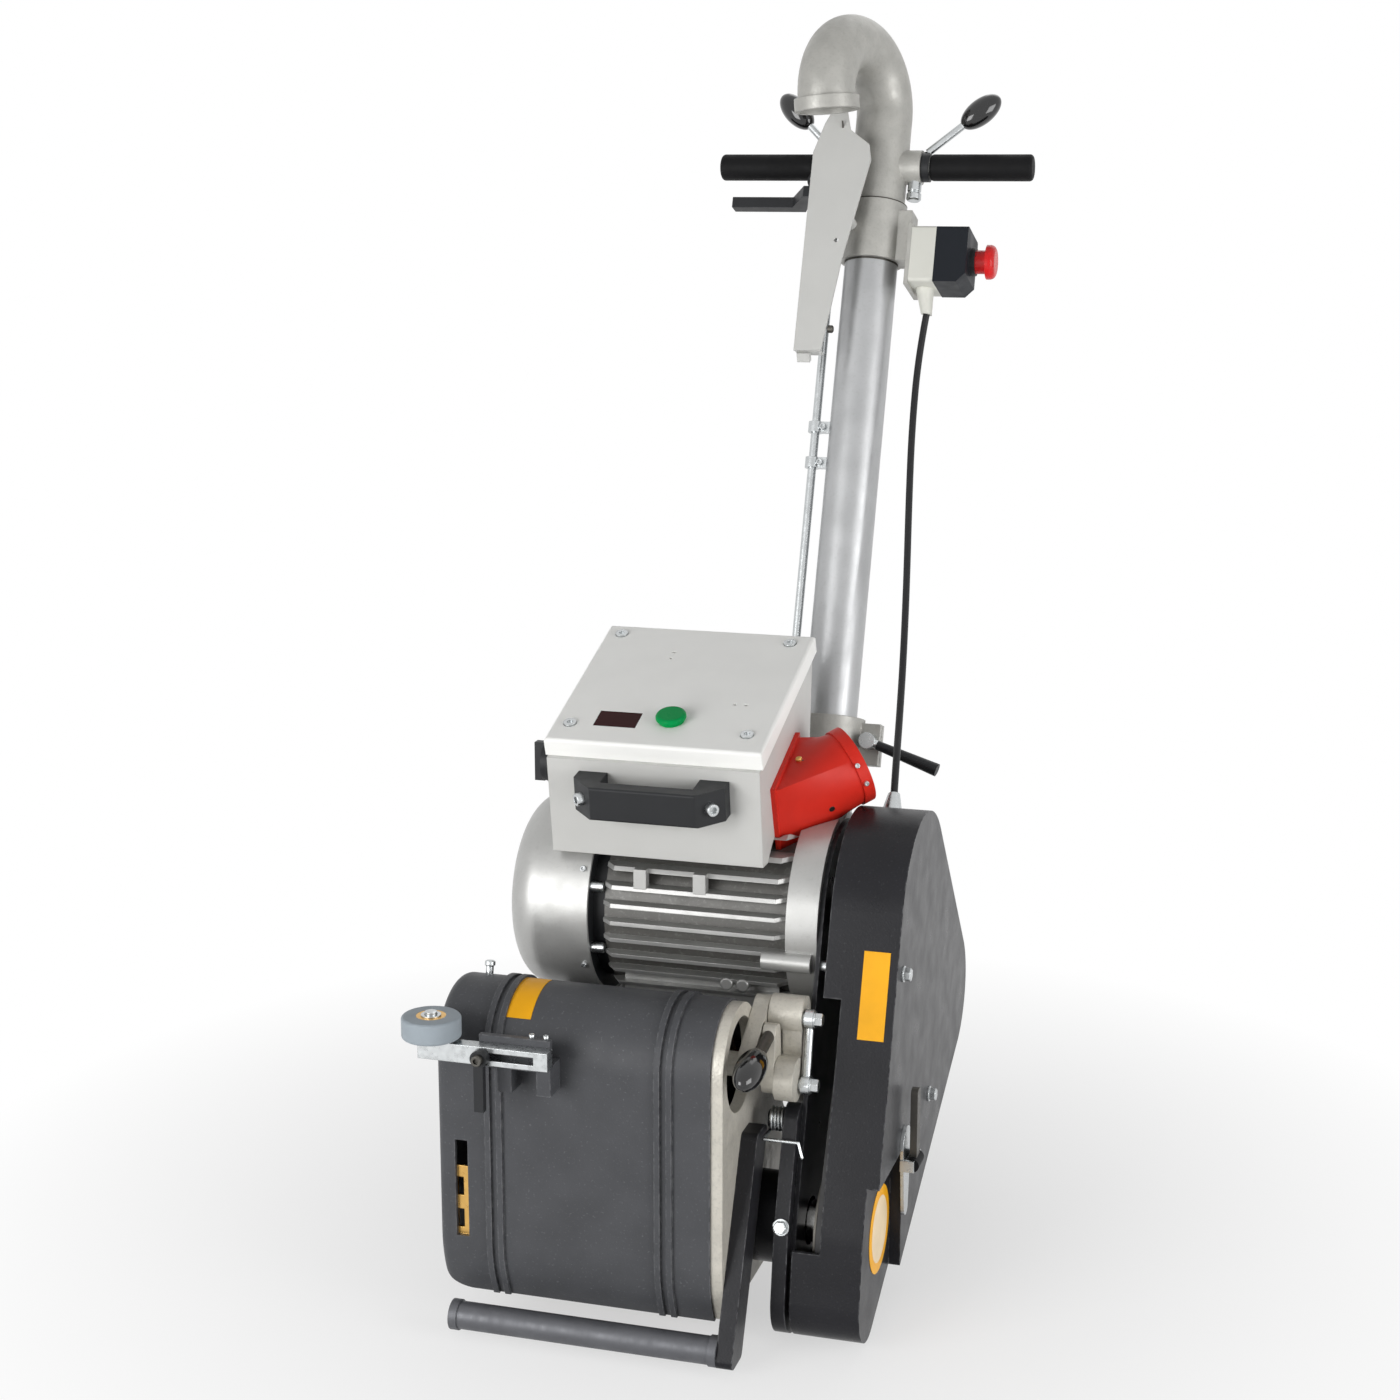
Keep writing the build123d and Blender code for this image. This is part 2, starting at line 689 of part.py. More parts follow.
def carriage_lugs():
    """Left faces of the two lugs that hold the carriage pin."""
    outside_left = CARRIAGE_LEFT_X - SWING_ROOM - CARRIAGE_LUG
    outside_right = CARRIAGE_RIGHT_X + CARRIAGE_PLATE + SWING_ROOM
    return outside_left, outside_right


def carriage_lug(left):
    half = CARRIAGE_LUG_HALF
    outline = hull((CARRIAGE_Y, CARRIAGE_Z, half), (CARRIAGE_Y, DECK_TOP - half, half))
    right = left + CARRIAGE_LUG
    pin_hole = cross_bar(left, right, CARRIAGE_Y, CARRIAGE_Z, CARRIAGE_PIN_RADIUS + RUN_FIT)
    return slab(outline, left, right) - pin_hole


def door_knuckle(low, high, side):
    """Hinge knuckle with its strap; side is 1 on the chassis and -1 on the door."""
    knuckle = bar((HINGE_X, HINGE_Y, low), (HINGE_X, HINGE_Y, high), HINGE_KNUCKLE_RADIUS)
    far = HINGE_X + side * 2 * HINGE_KNUCKLE_RADIUS
    near = HINGE_X + side * SWING_ROOM
    strap_y = (COVER_DRUM_RADIUS - 2 * HOOD_WALL, HINGE_Y + HINGE_KNUCKLE_RADIUS / 2)
    strap = block((min(near, far), max(near, far)), strap_y, (low, high))
    strap -= slab(disc(0, DRUM_Z, COVER_DRUM_RADIUS - HOOD_WALL / 2), min(near, far), max(near, far))
    pin_hole = bar((HINGE_X, HINGE_Y, low), (HINGE_X, HINGE_Y, high), HINGE_PIN_RADIUS + RUN_FIT)
    return knuckle + strap - pin_hole


def hinge_pins():
    """Door hinge pin and the carriage pivot pin."""
    hinge_top = HINGE_BOTTOM + 3 * HINGE_KNUCKLE
    door = bar((HINGE_X, HINGE_Y, HINGE_BOTTOM), (HINGE_X, HINGE_Y, hinge_top), HINGE_PIN_RADIUS)
    left, right = carriage_lugs()
    carriage = cross_bar(left, right + CARRIAGE_LUG, CARRIAGE_Y, CARRIAGE_Z, CARRIAGE_PIN_RADIUS)
    return group(door, carriage)


def belt_cover():
    """Cover over the front and top of the belt, with raised ribs."""
    shell = slab(belt_outline(0) - belt_outline(COVER_WALL), COVER_LEFT, COVER_RIGHT)
    rib = belt_outline(-RIB_HEIGHT) - belt_outline(COVER_WALL / 2)
    for x in (COVER_LEFT, RIB_RIGHT_X):
        for step in (0, RIB_PAIR):
            shell += slab(rib, x + step, x + step + RIB_WIDTH)
    reach = 2 * COVER_DRUM_RADIUS
    rear = block((COVER_LEFT, COVER_RIGHT), (0, reach), (-reach, COVER_SEAM_Z))
    return shell - rear - below_cover(COVER_LEFT, COVER_RIGHT)


def side_door():
    """Cap over the left end of the belt, hinged at its rear edge, with a brass catch plate."""
    right = COVER_LEFT - SWING_ROOM
    cap = slab(belt_outline(0), DOOR_LEFT, right) - below_cover(DOOR_LEFT, right)
    outer_edges = cap.faces().sort_by(Axis.X)[0].edges()
    cap = fillet(outer_edges, DOOR_EDGE_RADIUS)
    cap -= slab(belt_outline(DOOR_WALL), DOOR_LEFT + DOOR_WALL, right)
    corner = DOOR_CORNER_RADIUS
    centre_x = DOOR_LEFT + corner
    centre_z = COVER_BOTTOM + corner
    reach = 2 * COVER_DRUM_RADIUS
    notch = block((DOOR_LEFT, centre_x), (-reach, reach), (COVER_BOTTOM, centre_z))
    notch -= bar((centre_x, -reach, centre_z), (centre_x, reach, centre_z), corner)
    cap -= notch
    slot_left = DOOR_LEFT + SLOT_FROM_LEFT
    cap -= block((slot_left, slot_left + SLOT_WIDTH), (-reach, 0), (SLOT_BOTTOM, SLOT_TOP))
    low = HINGE_BOTTOM + HINGE_KNUCKLE
    cap += door_knuckle(low, low + HINGE_KNUCKLE, -1)
    return group(cap, door_catch())


def door_catch():
    """Brass plate behind the slot, with two windows."""
    back = COVER_FRONT + DOOR_WALL + CATCH_THICKNESS
    middle = DOOR_LEFT + SLOT_FROM_LEFT + SLOT_WIDTH / 2
    half = SLOT_WIDTH
    y = (back - CATCH_THICKNESS, back)
    plate = block((middle - half, middle + half), y, (SLOT_BOTTOM - CATCH_BELOW, SLOT_TOP - CATCH_SHORT))
    for rise in CATCH_WINDOWS:
        low = SLOT_BOTTOM + rise
        plate -= block((middle - half / 2, middle), y, (low, low + CATCH_WINDOW))
    return plate


def front_bumper_bar():
    z = BUMPER_BOTTOM + BUMPER_RADIUS + BUMPER_COLLAR_STEP
    rail = cross_bar(BUMPER_LEFT, CHEEK_RIGHT, BUMPER_Y, z, BUMPER_RADIUS)
    for left in (BUMPER_LEFT, CHEEK_RIGHT - BUMPER_COLLAR):
        rail += cross_bar(left, left + BUMPER_COLLAR, BUMPER_Y, z, BUMPER_RADIUS + BUMPER_COLLAR_STEP)
    return rail


def bumper_leg():
    """Slanted leg on the right cheek that carries the bumper bar."""
    leg = Polygon(
        (LEG_FOOT_Y, LEG_FOOT_Z),
        (LEG_FOOT_Y + LEG_DEPTH, LEG_FOOT_Z),
        (LEG_TOP_Y + LEG_DEPTH, LEG_TOP_Z),
        (LEG_TOP_Y, LEG_TOP_Z),
        align=None,
    )
    leg = fillet(leg.vertices(), LEG_ROUND)
    return slab(leg, CHEEK_RIGHT, CHEEK_RIGHT + LEG_WIDTH)


# Wall guide


def guide_bracket():
    """Angle on the cover front that holds the sliding bar."""
    front = GUIDE_BAR_Y + GUIDE_BAR_DEPTH / 2 + LOOSE
    back = front + GUIDE_PLATE
    plate_z = (GUIDE_BAR_BOTTOM - GUIDE_PLATE_EDGE, GUIDE_BAR_TOP + GUIDE_PLATE_EDGE)
    plate = block((GUIDE_BRACKET_LEFT, GUIDE_BRACKET_RIGHT), (front, back), plate_z)
    foot_z = (GUIDE_BAR_BOTTOM - GUIDE_FOOT_DROP, GUIDE_BAR_BOTTOM - GUIDE_FOOT_TOP)
    first = GUIDE_BRACKET_LEFT + RIB_PAIR + RIB_WIDTH
    for left in (first, GUIDE_BRACKET_RIGHT - GUIDE_BRACKET_FOOT):
        plate += block((left, left + GUIDE_BRACKET_FOOT), (front, COVER_FRONT), foot_z)
    return plate - guide_screw(front, back, GUIDE_SCREW_RADIUS + RUN_FIT)


def guide_screw(front, back, radius):
    """Round bar on the clamp screw's line."""
    return bar((GUIDE_SCREW_X, front, GUIDE_SCREW_Z), (GUIDE_SCREW_X, back, GUIDE_SCREW_Z), radius)


def guide_post(low, high, radius):
    """Round bar on the guide wheel's upright axis."""
    return bar((GUIDE_WHEEL_X, GUIDE_BAR_Y, low), (GUIDE_WHEEL_X, GUIDE_BAR_Y, high), radius)


def guide_bar():
    """Square bar with a slot for the clamp screw and a pin for the wheel."""
    y = (GUIDE_BAR_Y - GUIDE_BAR_DEPTH / 2, GUIDE_BAR_Y + GUIDE_BAR_DEPTH / 2)
    rail = block((GUIDE_BAR_LEFT, GUIDE_BAR_RIGHT), y, (GUIDE_BAR_BOTTOM, GUIDE_BAR_TOP))
    room = GUIDE_SCREW_RADIUS + LOOSE
    slot_x = (GUIDE_SCREW_X - 2 * room, GUIDE_SCREW_X + GUIDE_TRAVEL + room)
    rail -= block(slot_x, y, (GUIDE_SCREW_Z - room, GUIDE_SCREW_Z + room))
    pin_top = GUIDE_BAR_TOP + GUIDE_WHEEL_WIDTH + 2 * GUIDE_WHEEL_GAP
    rail += guide_post(GUIDE_BAR_TOP, pin_top, GUIDE_PIN_RADIUS)
    return rail + guide_post(GUIDE_BAR_TOP, GUIDE_BAR_TOP + GUIDE_WHEEL_GAP - LOOSE, GUIDE_SHOULDER_RADIUS)


def guide_wheel():
    """Rubber tyre on a brass hub."""
    low = GUIDE_BAR_TOP + GUIDE_WHEEL_GAP
    high = low + GUIDE_WHEEL_WIDTH
    hub = guide_post(low, high, GUIDE_HUB_RADIUS) - guide_post(low, high, GUIDE_PIN_RADIUS + RUN_FIT)
    tyre = fillet(guide_post(low, high, GUIDE_WHEEL_RADIUS).edges(), GUIDE_TYRE_ROUND)
    return group(tyre - guide_post(low, high, GUIDE_HUB_RADIUS), hub)


def guide_clamp_lever():
    """Clamp screw with its hanging lever."""
    face = GUIDE_BAR_Y - GUIDE_BAR_DEPTH / 2 - LOOSE
    back = GUIDE_BAR_Y + GUIDE_BAR_DEPTH / 2 + LOOSE + GUIDE_PLATE
    lever = guide_screw(face, back, GUIDE_SCREW_RADIUS)
    lever += guide_screw(face - GUIDE_SCREW_HEAD, face, GUIDE_SCREW_HEAD_RADIUS)
    half = GUIDE_LEVER_WIDTH / 2
    return lever + block(
        (GUIDE_SCREW_X - half, GUIDE_SCREW_X + half),
        (face - GUIDE_SCREW_HEAD, face - GUIDE_SCREW_HEAD + GUIDE_LEVER_DEPTH),
        (GUIDE_SCREW_Z - GUIDE_LEVER_LENGTH, GUIDE_SCREW_Z),
    )


# Sanding belt, drum, roller and bearings


def sanding_belt():
    outside = LOOSE + BELT_THICKNESS
    outer = hull((0, DRUM_Z, DRUM_RADIUS + outside), (ROLLER_Y, ROLLER_Z, ROLLER_RADIUS + outside))
    inner = hull((0, DRUM_Z, DRUM_RADIUS + LOOSE), (ROLLER_Y, ROLLER_Z, ROLLER_RADIUS + LOOSE))
    return slab(outer - inner, -BELT_WIDTH / 2, BELT_WIDTH / 2)


def drum_core():
    """Aluminium drum on its shaft, recessed at the free end."""
    radius = DRUM_RADIUS - RUBBER_THICKNESS
    core = cross_bar(-DRUM_END, DRUM_END, 0, DRUM_Z, radius)
    recess = cross_bar(-DRUM_END, DRUM_RECESS_DEPTH - DRUM_END, 0, DRUM_Z, radius - DRUM_RIM)
    recess -= cross_bar(-DRUM_END, DRUM_RECESS_DEPTH - DRUM_END, 0, DRUM_Z, DRUM_HUB_RADIUS)
    core -= recess
    return core + cross_bar(-DRUM_END, DRUM_BELT_X + PULLEY_WIDTH / 2, 0, DRUM_Z, DRUM_SHAFT_RADIUS)


def drum_rubber():
    sleeve = cross_bar(-DRUM_END, DRUM_END, 0, DRUM_Z, DRUM_RADIUS)
    return sleeve - cross_bar(-DRUM_END, DRUM_END, 0, DRUM_Z, DRUM_RADIUS - RUBBER_THICKNESS)


def drum_pulley():
    return pulley(DRUM_BELT_X, 0, DRUM_Z, DRUM_PULLEY_RADIUS, DRUM_SHAFT_RADIUS)


def bearing_housing():
    """Tube for the drum bearings with an arm plate against the guard."""
    housing = cross_bar(CHEEK_RIGHT, BACKPLATE_X, 0, DRUM_Z, BEARING_TUBE_RADIUS)
    arm = hull((0, DRUM_Z, ARM_LOBE_RADIUS), (ARM_TOP_Y, ARM_TOP_Z, ARM_TOP_RADIUS))
    housing += slab(arm + toe_outline(0), BACKPLATE_X - ARM_PLATE, BACKPLATE_X)
    pin_left = SPRING_LEFT - SPRING_WIRE_RADIUS
    pin_radius = SPRING_RADIUS - SPRING_WIRE_RADIUS - LOOSE
    housing += cross_bar(pin_left, BACKPLATE_X - ARM_PLATE, ARM_TOP_Y, ARM_TOP_Z, pin_radius)
    return housing - cross_bar(CHEEK_RIGHT, BACKPLATE_X, 0, DRUM_Z, BEARING_OUTER_RADIUS)


def bearing_ring(left, width, y, z, outer, shaft):
    ring = cross_bar(left, left + width, y, z, outer)
    return ring - cross_bar(left, left + width, y, z, shaft + RUN_FIT)


def ball_bearings():
    """Bearings of the drum shaft, the motor shaft and the fan shaft."""
    rings = []
    width = BEARING_WIDTH
    for left in (CHEEK_RIGHT, BACKPLATE_X - width):
        rings.append(bearing_ring(left, width, 0, DRUM_Z, BEARING_OUTER_RADIUS, DRUM_SHAFT_RADIUS))
    width = MOTOR_BEARING_WIDTH
    outer = MOTOR_BEARING_RADIUS
    for left in (MOTOR_LEFT - SHIELD_GAP, MOTOR_RIGHT):
        rings.append(bearing_ring(left, width, MOTOR_Y, MOTOR_Z, outer, MOTOR_SHAFT_RADIUS))
    outer = FAN_BEARING_TUBE - FLANGE_WALL
    for left in (TUBE_X + SCROLL_HALF_WIDTH + SCROLL_WALL, BACKPLATE_X - width):
        rings.append(bearing_ring(left, width, FAN_Y, FAN_Z, outer, FAN_SHAFT_RADIUS))
    return group(*rings)


def tension_roller():
    tube = cross_bar(-DRUM_END, DRUM_END, ROLLER_Y, ROLLER_Z, ROLLER_RADIUS)
    return tube - cross_bar(-DRUM_END, DRUM_END, ROLLER_Y, ROLLER_Z, ROLLER_PIN_RADIUS + RUN_FIT)


def tension_arm():
    """Swinging plate with the roller pin on one side and its own pivot pin on the other."""
    left = CHEEK_RIGHT + SWING_ROOM
    right = left + TENSION_PLATE
    outline = hull(
        (TENSION_PIVOT_Y, TENSION_PIVOT_Z, TENSION_PLATE_RADIUS),
        (ROLLER_Y, ROLLER_Z, TENSION_PLATE_RADIUS),
    )
    arm = slab(outline, left, right)
    arm += cross_bar(-DRUM_END, right, ROLLER_Y, ROLLER_Z, ROLLER_PIN_RADIUS)
    arm += cross_bar(DRUM_END + LOOSE, right, ROLLER_Y, ROLLER_Z, ROLLER_COLLAR_RADIUS)
    return arm + cross_bar(left, BACKPLATE_X, TENSION_PIVOT_Y, TENSION_PIVOT_Z, TENSION_PIN_RADIUS)


def tension_pivot(left, right, radius):
    """Round bar on the arm's pivot line."""
    return cross_bar(left, right, TENSION_PIVOT_Y, TENSION_PIVOT_Z, radius)


def tension_bracket():
    """Casting on the deck nose with the bosses for the arm pivot and the lever shaft."""
    upper_left = CHEEK_RIGHT + TENSION_PLATE + 2 * SWING_ROOM + LOOSE
    lower_left = LEVER_X + LEVER_COLLAR / 2 + LOOSE
    right = BACKPLATE_X + LOOSE
    x = (lower_left, BACKPLATE_X)
    foot = block(x, (LEVER_Y, BRACKET_FOOT_REAR), (DECK_TOP, DECK_TOP + BRACKET_FOOT))
    post_y = (TENSION_PIVOT_Y - TENSION_POST_HALF, TENSION_PIVOT_Y + TENSION_POST_HALF)
    foot += block(x, post_y, (DECK_TOP, TENSION_PIVOT_Z))
    foot += tension_pivot(upper_left, right, TENSION_BOSS_RADIUS)
    foot += cross_bar(lower_left, right, LEVER_Y, LEVER_Z, LEVER_BOSS_RADIUS)
    foot -= block((lower_left, right), (DECK_NOSE_Y - LOOSE, DECK_REAR), (0, DECK_TOP))
    blind = BACKPLATE_X + RUN_FIT
    foot -= tension_pivot(upper_left, blind, TENSION_PIN_RADIUS + RUN_FIT)
    return foot - cross_bar(lower_left, blind, LEVER_Y, LEVER_Z, LEVER_SHAFT_RADIUS + RUN_FIT)


def tension_lever():
    """Lever shaft with a lug above it, a rod towards the front and an oval knob."""
    half = LEVER_COLLAR / 2
    left = LEVER_X - half + LEVER_LUG_ROOM
    lever = cross_bar(left, BACKPLATE_X, LEVER_Y, LEVER_Z, LEVER_SHAFT_RADIUS)
    lever += cross_bar(left, LEVER_X + half, LEVER_Y, LEVER_Z, LEVER_COLLAR_RADIUS)
    root = Vector(LEVER_X, LEVER_Y, LEVER_Z + LEVER_LUG_RISE)
    lug = hull((LEVER_Y, LEVER_Z, LEVER_COLLAR_RADIUS), (root.Y, root.Z, LEVER_LUG_RADIUS))
    lever += slab(lug, left, LEVER_X + half)
    run = Vector(0, -LEVER_LENGTH, -LEVER_DROP)
    knob_start = root + run
    knob_end = knob_start + run.normalized() * KNOB_LENGTH
    lever += bar(root, knob_start + run.normalized() * (KNOB_LENGTH / 4), LEVER_ROD_RADIUS)
    return lever + oval_knob(knob_start, knob_end, KNOB_RADIUS)


def tracking_link():
    """Adjusting rod with an eye at each end, on two studs of the tension bracket."""
    face = BACKPLATE_X + LOOSE
    middle = face + LINK_STUD + LINK_EYE / 2
    top_y, top_z = TENSION_PIVOT_Y - TENSION_BOSS_RADIUS / 2, TENSION_PIVOT_Z
    low_y, low_z = LEVER_Y + LEVER_BOSS_RADIUS / 3, LEVER_Z - LEVER_BOSS_RADIUS / 3
    link = bar((middle, top_y, top_z), (middle, low_y, low_z), LINK_RADIUS)
    for y, z in ((top_y, top_z), (low_y, low_z)):
        link += cross_bar(face + LINK_STUD, face + LINK_STUD + LINK_EYE, y, z, LINK_EYE_RADIUS)
        link += cross_bar(face, face + LINK_STUD, y, z, LINK_STUD_RADIUS)
    return link


def tension_spring():
    """Torsion spring on the arm's pin; its leg runs forward, across and then down at a hook."""
    coil_path = Helix(SPRING_PITCH, SPRING_PITCH * SPRING_TURNS, SPRING_RADIUS)
    wire = Plane(coil_path @ 0, z_dir=coil_path % 0) * Circle(SPRING_WIRE_RADIUS)
    spring = sweep(wire, path=coil_path)
    foot = Vector(SPRING_RADIUS, 0, 0)
    front = foot + Vector(0, -SPRING_LEG, 0)
    across = front + Vector(0, 0, SPRING_CROSS)
    tip = across + Vector(*SPRING_HOOK)
    spring += Pos(foot) * Sphere(SPRING_JOINT_RADIUS)
    for near, far in ((foot, front), (front, across), (across, tip)):
        spring += bar(near, far, SPRING_WIRE_RADIUS)
        spring += Pos(far) * Sphere(SPRING_WIRE_RADIUS)
    return Plane(origin=(SPRING_LEFT, ARM_TOP_Y, ARM_TOP_Z), x_dir=(0, 0, -1), z_dir=(1, 0, 0)) * spring


# Guard, pulleys, belts and latch


def guard_backplate():
    outline = guard_outline(BACKPLATE_INSET) + toe_outline(BACKPLATE_INSET)
    plate = slab(outline, BACKPLATE_X, LOBE_LEFT)
    plate -= cross_bar(BACKPLATE_X, LOBE_LEFT, 0, DRUM_Z, DRUM_SHAFT_RADIUS + SHAFT_ROOM)
    plate -= cross_bar(BACKPLATE_X, LOBE_LEFT, MOTOR_Y, MOTOR_Z, MOTOR_SHAFT_RADIUS + 2 * SHAFT_ROOM)
    return plate - cross_bar(BACKPLATE_X, LOBE_LEFT, FAN_Y, FAN_Z, FAN_SHAFT_RADIUS + SHAFT_ROOM)


def guard_space(inset, lift):
    """Solid inside the guard's upper case and its drum lobe, set in by a wall."""
    reach = 2 * GUARD_MOTOR_RADIUS
    corner = block(
        (0, 2 * GUARD_RIGHT),
        (-reach, GUARD_STEP_Y + lift),
        (-reach, GUARD_STEP_Z + lift),
    )
    upper = slab(guard_outline(inset), GUARD_LEFT - lift, GUARD_RIGHT - inset) - corner
    lobe_box = block(
        (0, 2 * GUARD_RIGHT),
        (-reach, GUARD_STEP_Y + lift + GUARD_WALL),
        (-reach, GUARD_STEP_Z + lift + GUARD_WALL),
    )
    lobe = slab(guard_outline(inset) + toe_outline(inset), LOBE_LEFT - lift, LOBE_RIGHT - inset) & lobe_box
    return upper + lobe


def belt_guard():
    """Dark sheet guard over the drive belts, stepped at its drum lobe and notched in front."""
    shell = guard_space(0, 0) - guard_space(GUARD_WALL, GUARD_WALL)
    reach = 2 * GUARD_MOTOR_RADIUS
    return shell - block((0, GUARD_LEFT + NOTCH_WIDTH), (-reach, NOTCH_BACK), (DRUM_Z, NOTCH_TOP))


def drive_belts():
    """Belts from the motor to the drum and from the motor to the fan."""
    motor = (MOTOR_Y, MOTOR_Z, MOTOR_PULLEY_RADIUS)
    to_drum = drive_belt(DRUM_BELT_X, motor, (0, DRUM_Z, DRUM_PULLEY_RADIUS))
    to_fan = drive_belt(FAN_BELT_X, motor, (FAN_Y, FAN_Z, FAN_PULLEY_RADIUS))
    return group(to_drum, to_fan)


def guard_latch():
    """Toggle lever on the guard's face with a rubber roller at its foot."""
    x = (GUARD_RIGHT + LATCH_STAND, GUARD_RIGHT + LATCH_STAND + LATCH_THICKNESS)
    half = LATCH_WIDTH / 2
    foot = LATCH_BOTTOM_Z + LATCH_ROLLER_RADIUS - LATCH_THICKNESS / 2
    lever = block(x, (LATCH_Y - half, LATCH_Y + half), (foot, LATCH_TOP_Z))
    lever = fillet(lever.edges().filter_by(Axis.X).sort_by(Axis.Z)[-2:], LATCH_ROUND)
    middle = (x[0] + x[1]) / 2
    root = LATCH_BOTTOM_Z + LATCH_ROLLER_RADIUS
    half_roller = LATCH_ROLLER_LENGTH / 2
    near = (middle, LATCH_Y - half_roller, root)
    far = (middle, LATCH_Y + half_roller, root)
    lever += bar(near, far, LATCH_THICKNESS)
    return lever - bar(near, far, LATCH_PIN_RADIUS + RUN_FIT)


def latch_keeper():
    """Tongue plate on the guard that carries the latch pivot."""
    half = KEEPER_WIDTH / 2
    outline = hull(
        (LATCH_Y, KEEPER_BOTTOM_Z + half / 2, half / 2),
        (LATCH_Y, LATCH_BOTTOM_Z + LATCH_ROLLER_RADIUS + half, half),
    )
    keeper = slab(outline, GUARD_RIGHT, GUARD_RIGHT + KEEPER_THICKNESS)
    middle = GUARD_RIGHT + LATCH_STAND + LATCH_THICKNESS / 2
    root = LATCH_BOTTOM_Z + LATCH_ROLLER_RADIUS
    inner = LATCH_ROLLER_LENGTH / 2 + SWING_ROOM
    for side in (-1, 1):
        ear_y = sorted((LATCH_Y + side * inner, LATCH_Y + side * (inner + KEEPER_THICKNESS)))
        ear_z = (root - KEEPER_EAR_HALF, root + KEEPER_EAR_HALF)
        keeper += block((GUARD_RIGHT, middle + LATCH_PIN_RADIUS), ear_y, ear_z)
    reach = inner + KEEPER_THICKNESS
    return keeper + bar((middle, LATCH_Y - reach, root), (middle, LATCH_Y + reach, root), LATCH_PIN_RADIUS)


# Motor


def motor_housing():
    """Finned motor body with feet on the deck."""
    body = cross_bar(MOTOR_LEFT, MOTOR_RIGHT, MOTOR_Y, MOTOR_Z, MOTOR_CORE_RADIUS)
    round_limit = cross_bar(MOTOR_LEFT, MOTOR_RIGHT, MOTOR_Y, MOTOR_Z, MOTOR_FIN_RADIUS)
    round_limit = chamfer(round_limit.edges().filter_by(GeomType.CIRCLE), FIN_END)
    y = (MOTOR_Y - MOTOR_FIN_RADIUS, MOTOR_Y + MOTOR_FIN_RADIUS)
    for index in range(FIN_COUNT):
        z = MOTOR_Z + (index - (FIN_COUNT - 1) / 2) * FIN_PITCH
        fin = block((MOTOR_LEFT, MOTOR_RIGHT), y, (z - FIN_THICKNESS / 2, z + FIN_THICKNESS / 2))
        body += fin & round_limit
    for side in (-1, 1):
        middle = MOTOR_Y + side * FOOT_SPREAD
        foot_y = (middle - FOOT_WIDTH / 2, middle + FOOT_WIDTH / 2)
        foot_z = (DECK_TOP, MOTOR_Z - MOTOR_CORE_RADIUS / 2)
        body += block((MOTOR_LEFT + FOOT_INSET, MOTOR_RIGHT - FOOT_INSET), foot_y, foot_z)
    body += cross_bar(FLANGE_STUD_X[0], MOTOR_RIGHT, FLANGE_STUD_Y, FLANGE_STUD_Z, FLANGE_STUD_RADIUS)
    body -= cross_bar(MOTOR_LEFT, MOTOR_BORE_RIGHT, MOTOR_Y, MOTOR_Z, MOTOR_BORE_RADIUS)
    body -= cross_bar(MOTOR_BORE_RIGHT, MOTOR_RIGHT, MOTOR_Y, MOTOR_Z, MOTOR_BEARING_RADIUS)
    return body - inlet_room()


def motor_end_shields():
    """Bearing shield at the fan end and the deep drive flange at the guard."""
    left = MOTOR_LEFT - SHIELD_GAP
    shield = cross_bar(left, MOTOR_LEFT, MOTOR_Y, MOTOR_Z, SHIELD_RADIUS)
    shield += cross_bar(left - SHIELD_SEAT, left, MOTOR_Y, MOTOR_Z, COWL_RADIUS - COWL_WALL - RUN_FIT)
    shield -= cross_bar(left - SHIELD_SEAT, MOTOR_LEFT, MOTOR_Y, MOTOR_Z, MOTOR_BEARING_RADIUS)
    flange = cross_bar(MOTOR_RIGHT, BACKPLATE_X, MOTOR_Y, MOTOR_Z, FLANGE_RADIUS)
    flange += cross_bar(MOTOR_RIGHT, FLANGE_STUD_X[1], FLANGE_STUD_Y, FLANGE_STUD_Z, FLANGE_STUD_RADIUS)
    flange -= cross_bar(MOTOR_RIGHT, BACKPLATE_X, MOTOR_Y, MOTOR_Z, MOTOR_BEARING_RADIUS)
    return group(shield, flange - inlet_room())


def fan_cowl():
    """Domed cowl over the motor's cooling fan, with intake slots in its end."""
    right = MOTOR_LEFT - SHIELD_GAP
    cowl = cross_bar(COWL_LEFT, right, MOTOR_Y, MOTOR_Z, COWL_RADIUS)
    cowl = fillet(cowl.faces().sort_by(Axis.X)[0].edges(), COWL_ROUND)
    cavity = cross_bar(COWL_LEFT + COWL_WALL, right, MOTOR_Y, MOTOR_Z, COWL_RADIUS - COWL_WALL)
    cavity = fillet(cavity.faces().sort_by(Axis.X)[0].edges(), COWL_ROUND - COWL_WALL)
    cowl -= cavity
    length = COWL_SLOT_OUTER - COWL_SLOT_INNER
    middle = (COWL_SLOT_OUTER + COWL_SLOT_INNER) / 2
    for index in range(COWL_SLOTS):
        slot = Pos(0, middle, 0) * Box(3 * COWL_WALL, length, COWL_SLOT_WIDTH)
        turned = Rot(360 * index / COWL_SLOTS, 0, 0) * slot
        cowl -= Pos(COWL_LEFT + COWL_WALL / 2, MOTOR_Y, MOTOR_Z) * turned
    return cowl


def motor_stator():
    inset = MOTOR_BEARING_WIDTH
    right = MOTOR_BORE_RIGHT - inset
    ring = cross_bar(MOTOR_LEFT + inset, right, MOTOR_Y, MOTOR_Z, MOTOR_BORE_RADIUS)
    return ring - cross_bar(MOTOR_LEFT + inset, right, MOTOR_Y, MOTOR_Z, STATOR_INNER)


